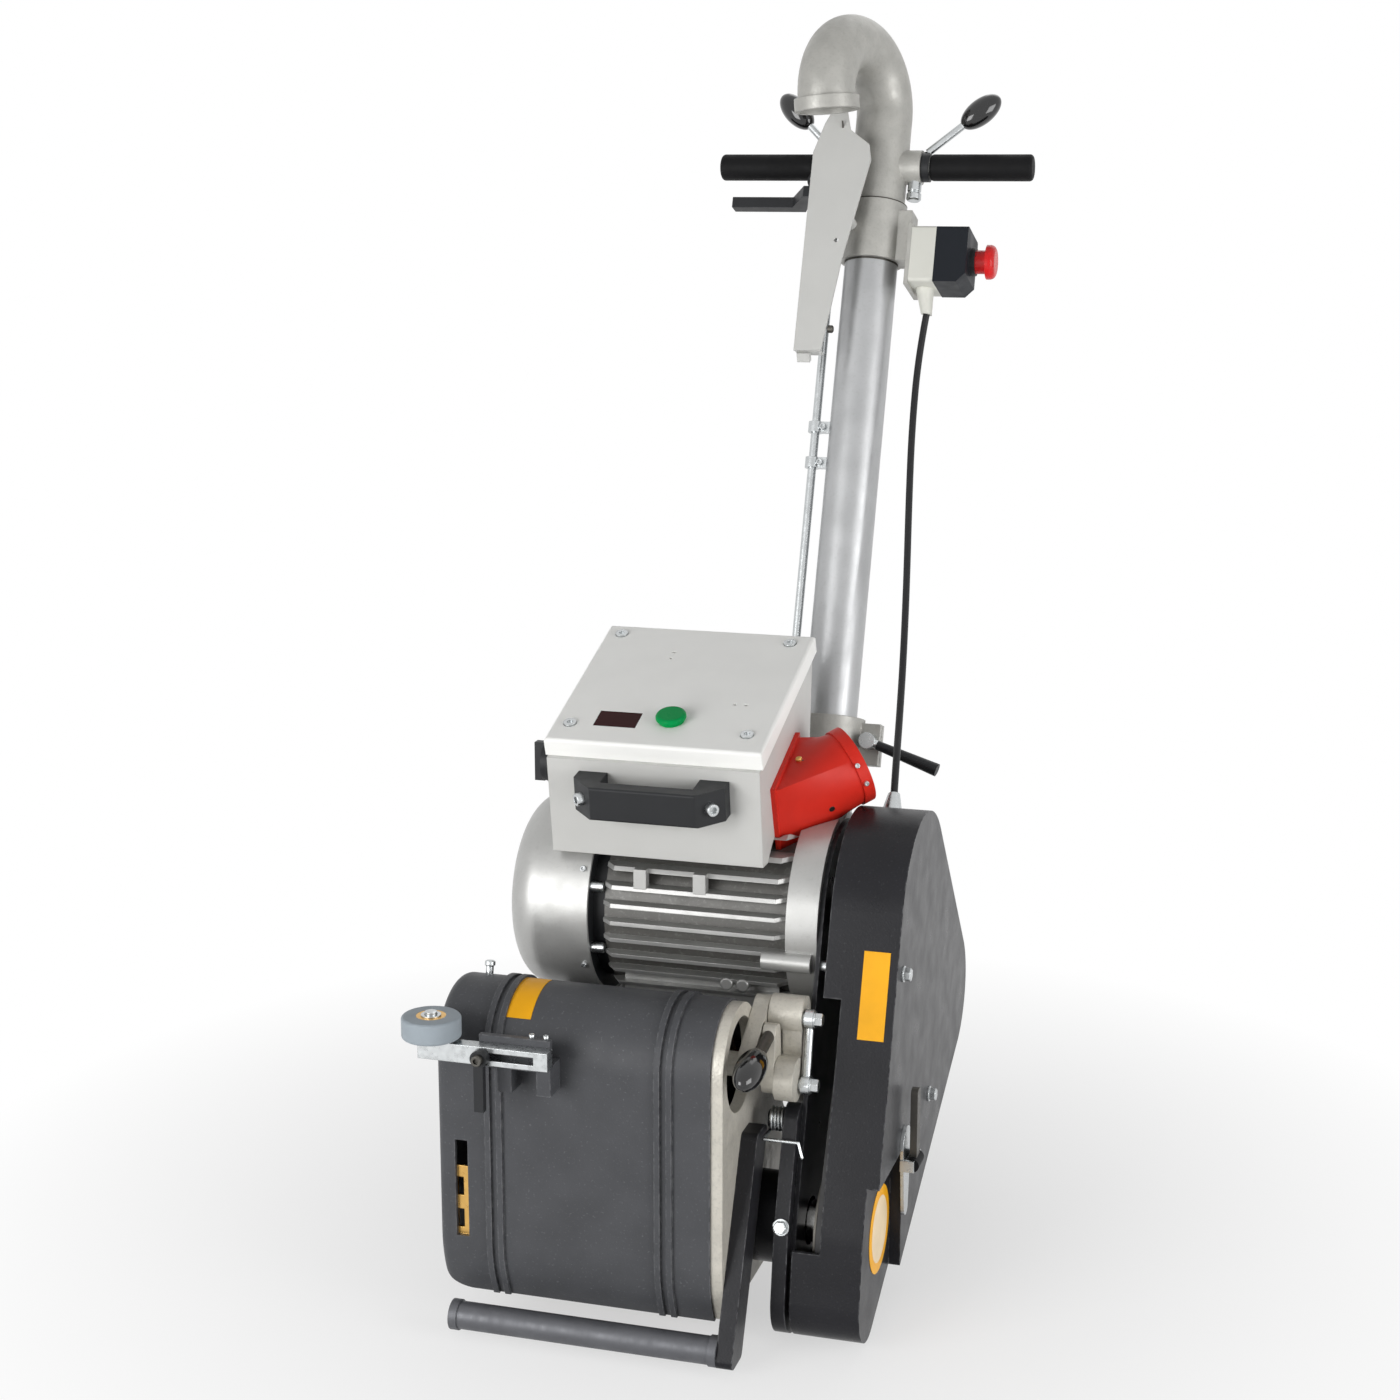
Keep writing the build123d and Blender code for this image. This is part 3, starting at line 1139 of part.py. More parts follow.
def motor_rotor():
    """Rotor with its shaft, the cooling fan and the two-groove pulley."""
    inset = MOTOR_BEARING_WIDTH
    shaft_right = FAN_BELT_X + PULLEY_WIDTH / 2
    rotor = cross_bar(MOTOR_LEFT + inset, MOTOR_BORE_RIGHT - inset, MOTOR_Y, MOTOR_Z, ROTOR_RADIUS)
    rotor += cross_bar(COOLING_LEFT, shaft_right, MOTOR_Y, MOTOR_Z, MOTOR_SHAFT_RADIUS)
    wheels = pulley(DRUM_BELT_X, MOTOR_Y, MOTOR_Z, MOTOR_PULLEY_RADIUS, MOTOR_SHAFT_RADIUS)
    wheels += pulley(FAN_BELT_X, MOTOR_Y, MOTOR_Z, MOTOR_PULLEY_RADIUS, MOTOR_SHAFT_RADIUS)
    return group(rotor, wheels, cooling_fan())


def cooling_fan():
    right = COOLING_LEFT + COOLING_WIDTH
    fan = cross_bar(COOLING_LEFT, right, MOTOR_Y, MOTOR_Z, COOLING_HUB_RADIUS)
    for index in range(COOLING_BLADES):
        blade = Pos(0, COOLING_FAN_RADIUS / 2, 0) * Box(COOLING_WIDTH, COOLING_FAN_RADIUS, COOLING_BLADE)
        turned = Rot(360 * index / COOLING_BLADES, 0, 0) * blade
        fan += Pos(COOLING_LEFT + COOLING_WIDTH / 2, MOTOR_Y, MOTOR_Z) * turned
    return fan - cross_bar(COOLING_LEFT, right, MOTOR_Y, MOTOR_Z, MOTOR_SHAFT_RADIUS)


# Dust fan


def scroll_space(wall):
    """Scroll and outlet pipe, set in by a wall."""
    left = TUBE_X - SCROLL_HALF_WIDTH + wall
    right = TUBE_X + SCROLL_HALF_WIDTH - wall
    scroll = cross_bar(left, right, FAN_Y, FAN_Z, SCROLL_RADIUS - wall)
    pipe_radius = OUTLET_RADIUS - wall
    foot = (FAN_Z - MAST_Z) / cos(LEAN)
    pipe = MAST * bar((0, 0, foot), (0, 0, CLAMP_LOW), pipe_radius)
    if wall:
        pipe += MAST * bar((0, 0, foot), (0, 0, 0), pipe_radius)
    return scroll + pipe


def fan_housing():
    """Hollow scroll with its outlet pipe, an inlet eye and a bearing tube."""
    housing = scroll_space(0)
    left = TUBE_X + SCROLL_HALF_WIDTH
    housing += cross_bar(left - SCROLL_WALL, BACKPLATE_X, FAN_Y, FAN_Z, FAN_BEARING_TUBE)
    eye_left = TUBE_X - SCROLL_HALF_WIDTH
    housing += cross_bar(DUCT_RIGHT, eye_left, FAN_Y, FAN_Z, FAN_EYE_RADIUS + SCROLL_WALL)
    housing -= scroll_space(SCROLL_WALL)
    housing -= cross_bar(DUCT_RIGHT, eye_left + SCROLL_WALL, FAN_Y, FAN_Z, FAN_EYE_RADIUS)
    bore = FAN_BEARING_TUBE - FLANGE_WALL
    housing -= cross_bar(left + SCROLL_WALL, BACKPLATE_X, FAN_Y, FAN_Z, bore)
    return housing - cross_bar(left - SCROLL_WALL, BACKPLATE_X, FAN_Y, FAN_Z, FAN_SHAFT_RADIUS + LOOSE)


def fan_impeller():
    """Bladed wheel with its shaft and pulley."""
    left = TUBE_X - SCROLL_HALF_WIDTH + SCROLL_WALL + IMPELLER_ROOM
    right = TUBE_X + SCROLL_HALF_WIDTH - SCROLL_WALL - IMPELLER_ROOM
    wheel = cross_bar(right - SCROLL_WALL, right, FAN_Y, FAN_Z, IMPELLER_RADIUS)
    wheel += cross_bar(left, right, FAN_Y, FAN_Z, 2 * FAN_SHAFT_RADIUS)
    for index in range(IMPELLER_BLADES):
        length = IMPELLER_RADIUS - 2 * IMPELLER_EDGE
        blade = Pos(0, IMPELLER_RADIUS / 2, 0) * Box(right - left, length, IMPELLER_BLADE)
        turned = Rot(360 * index / IMPELLER_BLADES, 0, 0) * blade
        wheel += Pos((left + right) / 2, FAN_Y, FAN_Z) * turned
    wheel += cross_bar(left, FAN_BELT_X + PULLEY_WIDTH / 2, FAN_Y, FAN_Z, FAN_SHAFT_RADIUS)
    return group(wheel, pulley(FAN_BELT_X, FAN_Y, FAN_Z, FAN_PULLEY_RADIUS, FAN_SHAFT_RADIUS))


def duct_outline(inset):
    low = DUCT_BOTTOM + inset
    return Polygon(
        (0, low),
        (DUCT_RISER_Y + 2 * inset, low),
        (DUCT_REAR - inset, DUCT_TOP),
        (DUCT_REAR - inset, DUCT_ROOF - inset),
        (DUCT_RISER_Y + inset, DUCT_ROOF - inset),
        (DUCT_RISER_Y + inset, DUCT_TOP - inset),
        (0, DUCT_TOP - inset),
        align=None,
    )


def suction_duct():
    """Sheet duct from the rear of the drum hood up to the fan's eye."""
    duct = slab(duct_outline(0), DUCT_LEFT, DUCT_RIGHT)
    duct -= slab(duct_outline(DUCT_WALL), DUCT_LEFT + DUCT_WALL, DUCT_RIGHT - DUCT_WALL)
    duct -= cross_bar(DUCT_RIGHT - DUCT_WALL, DUCT_RIGHT, FAN_Y, FAN_Z, FAN_EYE_RADIUS)
    return duct - cross_bar(DUCT_LEFT, DUCT_RIGHT, 0, DRUM_Z, COVER_DRUM_RADIUS + RUN_FIT)


# Control box


def box_outline(inset, top):
    """Side outline of the control box, set in by a wall and raised at the top."""
    rise = (BOX_BACK_Y - BOX_FRONT_Y) * sin(SLOPE) / cos(SLOPE)
    return Polygon(
        (BOX_FRONT_Y + inset, BOX_FRONT_TOP + top),
        (BOX_FRONT_FOOT_Y + inset, BOX_BOTTOM),
        (BOX_BACK_FOOT_Y - inset, BOX_BOTTOM),
        (BOX_BACK_Y - inset, BOX_FRONT_TOP + rise + top),
        align=None,
    )


def control_box():
    """Sheet box saddled over the motor, open at the top."""
    shell = slab(box_outline(0, 0), BOX_LEFT, BOX_RIGHT)
    saddle = MOTOR_FIN_RADIUS + BOX_MOTOR_ROOM
    shell -= cross_bar(BOX_LEFT, BOX_RIGHT, MOTOR_Y, MOTOR_Z, saddle)
    space = slab(box_outline(BOX_WALL, LID_THICKNESS), BOX_LEFT + BOX_WALL, BOX_RIGHT - BOX_WALL)
    space -= cross_bar(BOX_LEFT, BOX_RIGHT, MOTOR_Y, MOTOR_Z, saddle + BOX_WALL)
    space -= block((BOX_LEFT, BOX_RIGHT), (0, 2 * BOX_BACK_Y), (BOX_BOTTOM, BOX_BOTTOM + BOX_WALL))
    return shell - space


def on_lid(place, depth=0.0):
    """Location on the lid's top, measured from its front edge middle."""
    return LID_PLANE * Pos(place[0], place[1], depth)


def lid_plate():
    length = (BOX_BACK_Y - BOX_FRONT_Y) / cos(SLOPE)
    width = BOX_RIGHT - BOX_LEFT + 2 * LID_LIP
    top_front = (Align.CENTER, Align.MIN, Align.MAX)
    plate = Box(width, length + 2 * LID_LIP, LID_THICKNESS, align=top_front)
    plate = fillet(plate.faces().sort_by(Axis.Z)[-1].edges(), LID_ROUND)
    return LID_PLANE * Pos(0, -LID_LIP, 0) * plate


def control_lid():
    """Sloping lid with the display window let into it."""
    lid = lid_plate()
    window = Box(*WINDOW_SIZE, WINDOW_DEPTH, align=(Align.CENTER, Align.CENTER, Align.MAX))
    lid -= on_lid(WINDOW_CENTRE) * window
    drill = (Align.CENTER, Align.CENTER, Align.MAX)
    lid -= on_lid(BUTTON_CENTRE) * Cylinder(BUTTON_RADIUS + RUN_FIT, LID_THICKNESS, align=drill)
    for place in TINY_HOLES:
        lid -= on_lid(place) * Cylinder(TINY_HOLE_RADIUS, LID_ROUND, align=drill)
    for place in LID_SCREWS:
        lid -= on_lid(place) * Cylinder(LID_SCREW_RADIUS + LOOSE, LID_SCREW_SINK, align=drill)
    glass = Box(*WINDOW_SIZE, WINDOW_DEPTH - LOOSE, align=(Align.CENTER, Align.CENTER, Align.MIN))
    return group(lid, on_lid(WINDOW_CENTRE, -WINDOW_DEPTH) * glass)


def start_button():
    """Round button with a domed cap that travels into the lid."""
    lift = BUTTON_TRAVEL + LOOSE
    stem = Cylinder(BUTTON_RADIUS, LID_THICKNESS, align=(Align.CENTER, Align.CENTER, Align.MAX))
    cap = Cylinder(BUTTON_RIM, BUTTON_CAP, align=(Align.CENTER, Align.CENTER, Align.MIN))
    cap = fillet(cap.faces().sort_by(Axis.Z)[-1].edges(), BUTTON_ROUND)
    return on_lid(BUTTON_CENTRE, lift) * (stem + cap)


def front_plane():
    """Plane on the box front, x to the right, y up the face, z out of it."""
    up = Vector(0, BOX_FRONT_Y - BOX_FRONT_FOOT_Y, BOX_FRONT_TOP - BOX_BOTTOM)
    share = (GRIP_MIDDLE_Z - BOX_BOTTOM) / (BOX_FRONT_TOP - BOX_BOTTOM)
    y = BOX_FRONT_FOOT_Y + (BOX_FRONT_Y - BOX_FRONT_FOOT_Y) * share
    return Plane(origin=(0, y, GRIP_MIDDLE_Z), x_dir=(1, 0, 0), z_dir=Vector(1, 0, 0).cross(up))


def bridge_handle():
    """Bridge grip on the box front."""
    left, right = GRIP_X
    outer = Polygon(
        (left, 0),
        (left, GRIP_REACH - GRIP_CHAMFER),
        (left + GRIP_CHAMFER, GRIP_REACH),
        (right - GRIP_CHAMFER, GRIP_REACH),
        (right, GRIP_REACH - GRIP_CHAMFER),
        (right, 0),
        align=None,
    )
    inner = Polygon(
        (left + GRIP_FOOT, 0),
        (left + GRIP_FOOT, GRIP_REACH - GRIP_BAR),
        (right - GRIP_FOOT, GRIP_REACH - GRIP_BAR),
        (right - GRIP_FOOT, 0),
        align=None,
    )
    grip = extrude(Plane.XZ * (outer - inner), amount=GRIP_HEIGHT / 2, both=True)
    grip = fillet(grip.faces().sort_by(Axis.Z)[-1].edges(), GRIP_ROUND)
    return front_plane() * grip


def main_switch():
    """Turning knob of the rotary switch with its grip bar."""
    right = BOX_LEFT - SWITCH_PLATE - LOOSE
    knob = cross_bar(right - SWITCH_KNOB, right, SWITCH_Y, SWITCH_Z, SWITCH_KNOB_RADIUS)
    half = SWITCH_GRIP_WIDTH / 2
    left = right - SWITCH_KNOB - SWITCH_GRIP
    knob += block(
        (left, right - SWITCH_KNOB),
        (SWITCH_Y - half, SWITCH_Y + half),
        (SWITCH_Z - SWITCH_KNOB_RADIUS, SWITCH_Z + SWITCH_KNOB_RADIUS),
    )
    return knob


def switch_plate():
    return cross_bar(BOX_LEFT - SWITCH_PLATE, BOX_LEFT, SWITCH_Y, SWITCH_Z, SWITCH_PLATE_RADIUS)


def inlet_plane():
    """Plane of the inlet mouth, z pointing out of it."""
    y, z = INLET_CENTRE
    mouth = Vector(BOX_RIGHT + INLET_FLANGE, y, z) + Vector(*INLET_REACH)
    return Plane(origin=mouth, x_dir=(0, 1, 0), z_dir=Vector(*INLET_REACH))


def inlet_side():
    """Plane on the box's right face under the inlet."""
    y, z = INLET_CENTRE
    return Plane(origin=(BOX_RIGHT, y, z), x_dir=(0, cos(SLOPE), sin(SLOPE)), z_dir=(1, 0, 0))


def inlet_room():
    """Space that the motor leaves free under the inlet."""
    side = inlet_side()
    width, height = INLET_BASE
    foot = Rectangle(width + 2 * INLET_ROOM, height + 2 * INLET_ROOM)
    room = extrude(side * foot, amount=INLET_FLANGE + INLET_ROOM)
    rim = INLET_RADIUS + INLET_RIM_STEP + INLET_ROOM
    return room + loft([side.offset(INLET_FLANGE) * foot, inlet_plane().offset(INLET_RIM) * Circle(rim)])


def power_inlet():
    """Angled inlet housing on the box's right face, with pins in its mouth."""
    side = inlet_side()
    housing = extrude(side * Rectangle(*INLET_BASE), amount=INLET_FLANGE)
    width, height = INLET_BASE
    base = side.offset(INLET_FLANGE) * Rectangle(width - INLET_STEP, height - INLET_STEP)
    mouth = inlet_plane()
    housing += loft([base, mouth.offset(-INLET_RIM) * Circle(INLET_RADIUS)])
    inward = (Align.CENTER, Align.CENTER, Align.MAX)
    housing += mouth * Cylinder(INLET_RADIUS + INLET_RIM_STEP, INLET_RIM, align=inward)
    housing -= mouth * Cylinder(INLET_MOUTH_RADIUS, INLET_DEPTH, align=inward)
    pins = []
    for index in range(INLET_PINS):
        turn = radians(360 * index / INLET_PINS)
        foot = Pos(INLET_PIN_CIRCLE * cos(turn), INLET_PIN_CIRCLE * sin(turn), -INLET_DEPTH)
        outward = (Align.CENTER, Align.CENTER, Align.MIN)
        pins.append(mouth * foot * Cylinder(INLET_PIN_RADIUS, INLET_PIN_LENGTH, align=outward))
    return group(housing, *pins)


# Mast: clamp, tube, collar, head and handlebars


def tube_clamp():
    """Split clamp that holds the foot of the dust tube on the fan outlet."""
    ring = bar((0, 0, CLAMP_LOW), (0, 0, CLAMP_HIGH), CLAMP_RADIUS)
    half = CLAMP_LUG / 2
    ring += block((0, CLAMP_LUG_REACH), (-half, half), (CLAMP_LOW, CLAMP_HIGH - CLAMP_LUG_SHORT))
    ring -= bar((0, 0, 0), (0, 0, CLAMP_HIGH), TUBE_RADIUS)
    ring -= bar((0, 0, CLAMP_LOW), (0, 0, 0), TUBE_RADIUS - TUBE_WALL)
    split_half = CLAMP_SPLIT / 2
    split_x = (TUBE_RADIUS - 2 * TUBE_WALL, CLAMP_LUG_REACH)
    ring -= block(split_x, (-split_half, split_half), (CLAMP_LOW, CLAMP_HIGH))
    hole = clamp_pin()
    ring -= bar((hole[0], -half, hole[1]), (hole[0], half, hole[1]), CLAMP_PIN_RADIUS + RUN_FIT)
    return MAST * ring


def clamp_pin():
    """Clamp screw place across the lugs: offset from the tube and height along the mast."""
    return CLAMP_LUG_REACH - CLAMP_PIN_EDGE, (CLAMP_LOW + CLAMP_HIGH) / 2


def tube_clamp_lever():
    """Clamp screw with its tapered handle."""
    x, z = clamp_pin()
    half = CLAMP_LUG / 2
    head = half + SWING_ROOM
    lever = bar((x, -head, z), (x, half, z), CLAMP_PIN_RADIUS)
    lever += bar((x, -head - CLAMP_HEAD, z), (x, -head, z), CLAMP_HEAD_RADIUS)
    root = Vector(x, -head - CLAMP_HEAD / 2, z)
    run = Vector(CLAMP_LEVER_LENGTH, 0, -CLAMP_LEVER_DROP)
    outward = (Align.CENTER, Align.CENTER, Align.MIN)
    handle = Cone(CLAMP_LEVER_ROOT, CLAMP_LEVER_TIP, run.length, align=outward)
    lever += Plane(origin=root, z_dir=run) * handle
    return MAST * lever


def dust_tube():
    top = COLLAR_HIGH
    tube = bar((0, 0, 0), (0, 0, top), TUBE_RADIUS)
    return MAST * (tube - bar((0, 0, 0), (0, 0, top), TUBE_RADIUS - TUBE_WALL))


def tube_collar():
    """Collar at the top of the tube with the pad and plate for the emergency stop."""
    collar = bar((0, 0, COLLAR_LOW), (0, 0, COLLAR_HIGH), COLLAR_RADIUS)
    pad_z = (COLLAR_LOW, COLLAR_HIGH - COLLAR_PAD_SHORT)
    collar += block((0, STOP_PAD_REACH), (-COLLAR_PAD_HALF, COLLAR_PAD_HALF), pad_z)
    half = STOP_SIZE / 2
    plate_x = (STOP_PAD_REACH, STOP_PAD_REACH + STOP_PLATE)
    reach = half + STOP_PLATE_EDGE
    collar += block(plate_x, (-half, half), (STOP_CENTRE - reach, STOP_CENTRE + reach))
    return MAST * (collar - bar((0, 0, COLLAR_LOW), (0, 0, COLLAR_HIGH), TUBE_RADIUS))


def bend_toward():
    """Direction in the mast's frame that the head bends towards."""
    twist = radians(BEND_TWIST)
    return Vector(-sin(twist), -cos(twist), 0)


def head_solid(radius, mouth_radius, extra):
    """Straight neck, bend and mouth of the head as one solid."""
    low = COLLAR_HIGH - extra
    high = COLLAR_HIGH + HEAD_STRAIGHT
    neck = bar((0, 0, low), (0, 0, high), radius)
    toward = bend_toward()
    start = Vector(0, 0, high)
    centre = start + toward * BEND_RADIUS
    spin = Vector(0, 0, 1).cross(toward)
    ring = revolve(Plane(start, z_dir=(0, 0, 1)) * Circle(radius), Axis(centre, spin), BEND_ANGLE)
    end = centre + (start - centre).rotate(Axis((0, 0, 0), spin), BEND_ANGLE)
    heading = Vector(0, 0, 1).rotate(Axis((0, 0, 0), spin), BEND_ANGLE)
    lip = bar(end, end + heading * (MOUTH_LENGTH + extra), mouth_radius)
    return neck + ring + lip


def handle_head():
    """Cast gooseneck head with a hub on each side for the handlebars."""
    head = head_solid(HEAD_RADIUS, MOUTH_RADIUS, 0)
    head += bar((-HUB_REACH, 0, BAR_HEIGHT), (HUB_REACH, 0, BAR_HEIGHT), HUB_RADIUS)
    head -= head_solid(HEAD_RADIUS - HEAD_WALL, MOUTH_RADIUS - HEAD_WALL, OVERCUT)
    for side in (-1, 1):
        near = (side * HEAD_RADIUS, 0, BAR_HEIGHT)
        far = (side * HUB_REACH, 0, BAR_HEIGHT)
        head -= bar(near, far, BAR_RADIUS)
    return MAST * head


def grip_start():
    return HUB_REACH + SWING_ROOM + LEVER_RING + SWING_ROOM


def handlebars():
    """Steel bars clamped in the head's hubs."""
    bars = []
    for side, length in ((-1, GRIP_LENGTH_LEFT), (1, GRIP_LENGTH_RIGHT)):
        near = (side * HEAD_RADIUS, 0, BAR_HEIGHT)
        far = (side * (grip_start() + length - GRIP_END), 0, BAR_HEIGHT)
        bars.append(MAST * bar(near, far, BAR_RADIUS))
    return group(*bars)


def handle_grips():
    """Black sleeves with closed, rounded ends."""
    grips = []
    for side, length in ((-1, GRIP_LENGTH_LEFT), (1, GRIP_LENGTH_RIGHT)):
        near = (side * grip_start(), 0, BAR_HEIGHT)
        far = (side * (grip_start() + length), 0, BAR_HEIGHT)
        sleeve = fillet(bar(near, far, GRIP_RADIUS).edges(), GRIP_END_ROUND)
        inside = (side * (grip_start() + length - GRIP_END), 0, BAR_HEIGHT)
        grips.append(MAST * (sleeve - bar(near, inside, BAR_RADIUS)))
    return group(*grips)


def lock_lever(side, reach):
    """Ring on the handlebar with a steel rod and an oval knob."""
    near = side * (HUB_REACH + SWING_ROOM)
    far = near + side * LEVER_RING
    ring = bar((near, 0, BAR_HEIGHT), (far, 0, BAR_HEIGHT), LEVER_RING_RADIUS)
    ring -= bar((near, 0, BAR_HEIGHT), (far, 0, BAR_HEIGHT), BAR_RADIUS + RUN_FIT)
    middle = (near + far) / 2
    root = Vector(middle, 0, BAR_HEIGHT + LEVER_RING_RADIUS + LOCK_NECK)
    ring += bar((middle, 0, BAR_HEIGHT + BAR_RADIUS + LOCK_ROOT), root, LEVER_RING / 2)
    run = Vector(side * reach, 0, LOCK_RISE)
    along = run.normalized()
    knob_start = root + run * LOCK_ROD_SHARE
    knob_end = knob_start + along * LOCK_KNOB_LENGTH
    lever = ring + bar(root, knob_start + along * (LOCK_KNOB_LENGTH / 4), LOCK_ROD_RADIUS)
    return MAST * (lever + oval_knob(knob_start, knob_end, LOCK_KNOB_RADIUS))


def clamp_lever_left():
    return lock_lever(-1, LOCK_RUN_LEFT)


def clamp_lever_right():
    return lock_lever(1, LOCK_RUN_RIGHT)


# Lift linkage


def lift_pin(x, front, back, radius):
    """Round bar across the lift plate at its working height."""
    return bar((x, front, LIFT_HEIGHT), (x, back, LIFT_HEIGHT), radius)


def lift_lever():
    """Plate on the linkage cover's stud, a pin to the rod and a bar under the left grip."""
    front = LIFT_PLANE - LIFT_PLATE / 2
    back = LIFT_PLANE + LIFT_PLATE / 2
    plate_z = (LIFT_HEIGHT - LIFT_PLATE_HALF, LIFT_HEIGHT + LIFT_PLATE_HALF)
    plate = block((LIFT_PIVOT_X, ROD_OFFSET), (front, back), plate_z)
    plate += lift_pin(ROD_OFFSET, front, back, LIFT_PLATE_HALF)
    plate += lift_pin(LIFT_PIVOT_X, front, back, LIFT_BOSS_RADIUS)
    plate += lift_pin(ROD_OFFSET, back, ROD_EYE_WIDTH / 2 + LIFT_PIN_PROUD, ROD_PIN_RADIUS)
    depth = LIFT_BAR_DEPTH / 2
    elbow = Polygon(
        (LIFT_PIVOT_X, front),
        (LIFT_PIVOT_X - LIFT_ELBOW_FRONT, front),
        (LIFT_ELBOW_X - LIFT_ELBOW_LEAD, -depth),
        (LIFT_BAR_END, -depth),
        (LIFT_BAR_END, depth),
        (LIFT_ELBOW_X, depth),
        (LIFT_PIVOT_X - LIFT_ELBOW_BACK, back),
        (LIFT_PIVOT_X, back),
        align=None,
    )
    low = Plane.XY.offset(LIFT_HEIGHT - LIFT_BAR_HEIGHT / 2)
    plate += extrude(low * elbow, amount=LIFT_BAR_HEIGHT)
    return MAST * (plate - lift_pin(LIFT_PIVOT_X, front, back, LIFT_STUD_RADIUS + RUN_FIT))


def lift_rod():
    """Rod beside the tube with an eye at each end."""
    half = ROD_EYE_WIDTH / 2
    play = ROD_PIN_RADIUS + ROD_EYE_PLAY
    rod = bar((ROD_OFFSET, 0, ROD_FOOT + play), (ROD_OFFSET, 0, LIFT_HEIGHT - play), ROD_RADIUS)
    top_eye = lift_pin(ROD_OFFSET, -half, half, ROD_EYE_RADIUS)
    top_hole = lift_pin(ROD_OFFSET, -half, half, play)
    low_eye = bar((ROD_OFFSET - half, 0, ROD_FOOT), (ROD_OFFSET + half, 0, ROD_FOOT), ROD_EYE_RADIUS)
    low_hole = bar((ROD_OFFSET - half, 0, ROD_FOOT), (ROD_OFFSET + half, 0, ROD_FOOT), play)
    return MAST * (rod + top_eye + low_eye - top_hole - low_hole)


def rod_guides():
    """Two clips on the tube that the rod slides through."""
    clips = []
    for z in GUIDE_CLIPS:
        ring = bar((ROD_OFFSET, 0, z), (ROD_OFFSET, 0, z + CLIP_HEIGHT), CLIP_RADIUS)
        web_x = (ROD_OFFSET, -TUBE_RADIUS + OVERCUT)
        ring += block(web_x, (-CLIP_WEB_HALF, CLIP_WEB_HALF), (z, z + CLIP_HEIGHT))
        ring -= bar((ROD_OFFSET, 0, z), (ROD_OFFSET, 0, z + CLIP_HEIGHT), ROD_RADIUS + RUN_FIT)
        ring -= bar((0, 0, z), (0, 0, z + CLIP_HEIGHT), TUBE_RADIUS)
        clips.append(MAST * ring)
    return clips


def linkage_cover():
    """Tapered sheet plate in front of the linkage, folded back at its foot, on two pegs."""
    front = Plane(origin=(0, LINKAGE_PLANE, BAR_HEIGHT), x_dir=(1, 0, 0), z_dir=(0, -1, 0))
    sheet = extrude(front * Polygon(*LINKAGE_OUTLINE, align=None), amount=LINKAGE_SHEET)
    x, rise = LINKAGE_HOLE
    hole_z = BAR_HEIGHT + rise
    face = LINKAGE_PLANE - LINKAGE_SHEET
    sheet -= bar((x, face, hole_z), (x, LINKAGE_PLANE, hole_z), LINKAGE_HOLE_RADIUS)
    left, foot = LINKAGE_OUTLINE[0]
    fold_x = (left + LINKAGE_FOLD_INSET, LINKAGE_OUTLINE[1][0] - LINKAGE_FOLD_INSET)
    fold_y = (LINKAGE_PLANE, LINKAGE_PLANE + LINKAGE_FOLD)
    sheet += block(fold_x, fold_y, (BAR_HEIGHT + foot, BAR_HEIGHT + foot + LINKAGE_SHEET))
    for x, rise in LINKAGE_PEGS:
        peg_z = BAR_HEIGHT + rise
        sheet += bar((x, LINKAGE_PLANE, peg_z), (x, 0, peg_z), LINKAGE_PEG_RADIUS)
    stud_end = LIFT_PLANE + LIFT_PLATE / 2 + LIFT_STUD_PROUD
    sheet += lift_pin(LIFT_PIVOT_X, LINKAGE_PLANE, stud_end, LIFT_STUD_RADIUS)
    sheet -= bar((0, 0, COLLAR_LOW), (0, 0, COLLAR_HIGH), COLLAR_RADIUS)
    sheet -= bar((0, 0, COLLAR_HIGH), (0, 0, COLLAR_HIGH + HEAD_STRAIGHT), HEAD_RADIUS)
    return MAST * sheet


# Emergency stop and its cable


def stop_stations():
    base = STOP_PAD_REACH + STOP_PLATE
    return base, base + STOP_BASE, base + STOP_BASE + STOP_COVER


def stop_bar(left, right, radius):
    """Round bar on the stop button's line."""
    return bar((left, 0, STOP_CENTRE), (right, 0, STOP_CENTRE), radius)


def estop_box():
    """Light base, dark cover with a chamfered lower corner, and the button's neck."""
    start, seam, face = stop_stations()
    half = STOP_SIZE / 2
    z = (STOP_CENTRE - half, STOP_CENTRE + half)
    base = block((start, seam), (-half, half), z)
    base = fillet(base.edges().filter_by(Axis.X), STOP_ROUND)
    cover = block((seam, face), (-half, half), z)
    low_edge = cover.faces().sort_by(Axis.X)[-1].edges().sort_by(Axis.Z)[0]
    cover = chamfer(low_edge, STOP_CHAMFER)
    cover = fillet(cover.edges().filter_by(Axis.X).sort_by(Axis.Z)[-2:], STOP_ROUND)
    cover += stop_bar(face, face + STOP_NECK, STOP_NECK_RADIUS)
    bore = stop_bar(seam, face + STOP_NECK, STOP_STEM_RADIUS + RUN_FIT)
    return group(MAST * base, MAST * (cover - bore))


def estop_button():
    """Red mushroom button on its stem."""
    face = stop_stations()[2]
    tip = face + STOP_NECK + STOP_STEM_SHOWN
    stem = stop_bar(face - STOP_STEM, tip + STOP_CAP / 2, STOP_STEM_RADIUS)
    cap = stop_bar(tip, tip + STOP_CAP, STOP_CAP_RADIUS)
    cap = fillet(cap.faces().sort_by(Axis.X)[-1].edges(), STOP_CAP_ROUND)
    return MAST * (stem + cap)


def cable_points():
    """Points along the cable, from the upper gland down to the gland on the guard."""
    drop = STOP_CENTRE - STOP_SIZE / 2 - CABLE_TOP_DROP
    top = MAST.from_local_coords(Vector(CABLE_TOP_X, 0, drop))
    foot = Vector(*CABLE_FOOT)
    points = [top]
    for share, right, back, up in CABLE_BULGES:
        points.append(top + (foot - top) * share + Vector(right, back, up))
    return points + [foot]


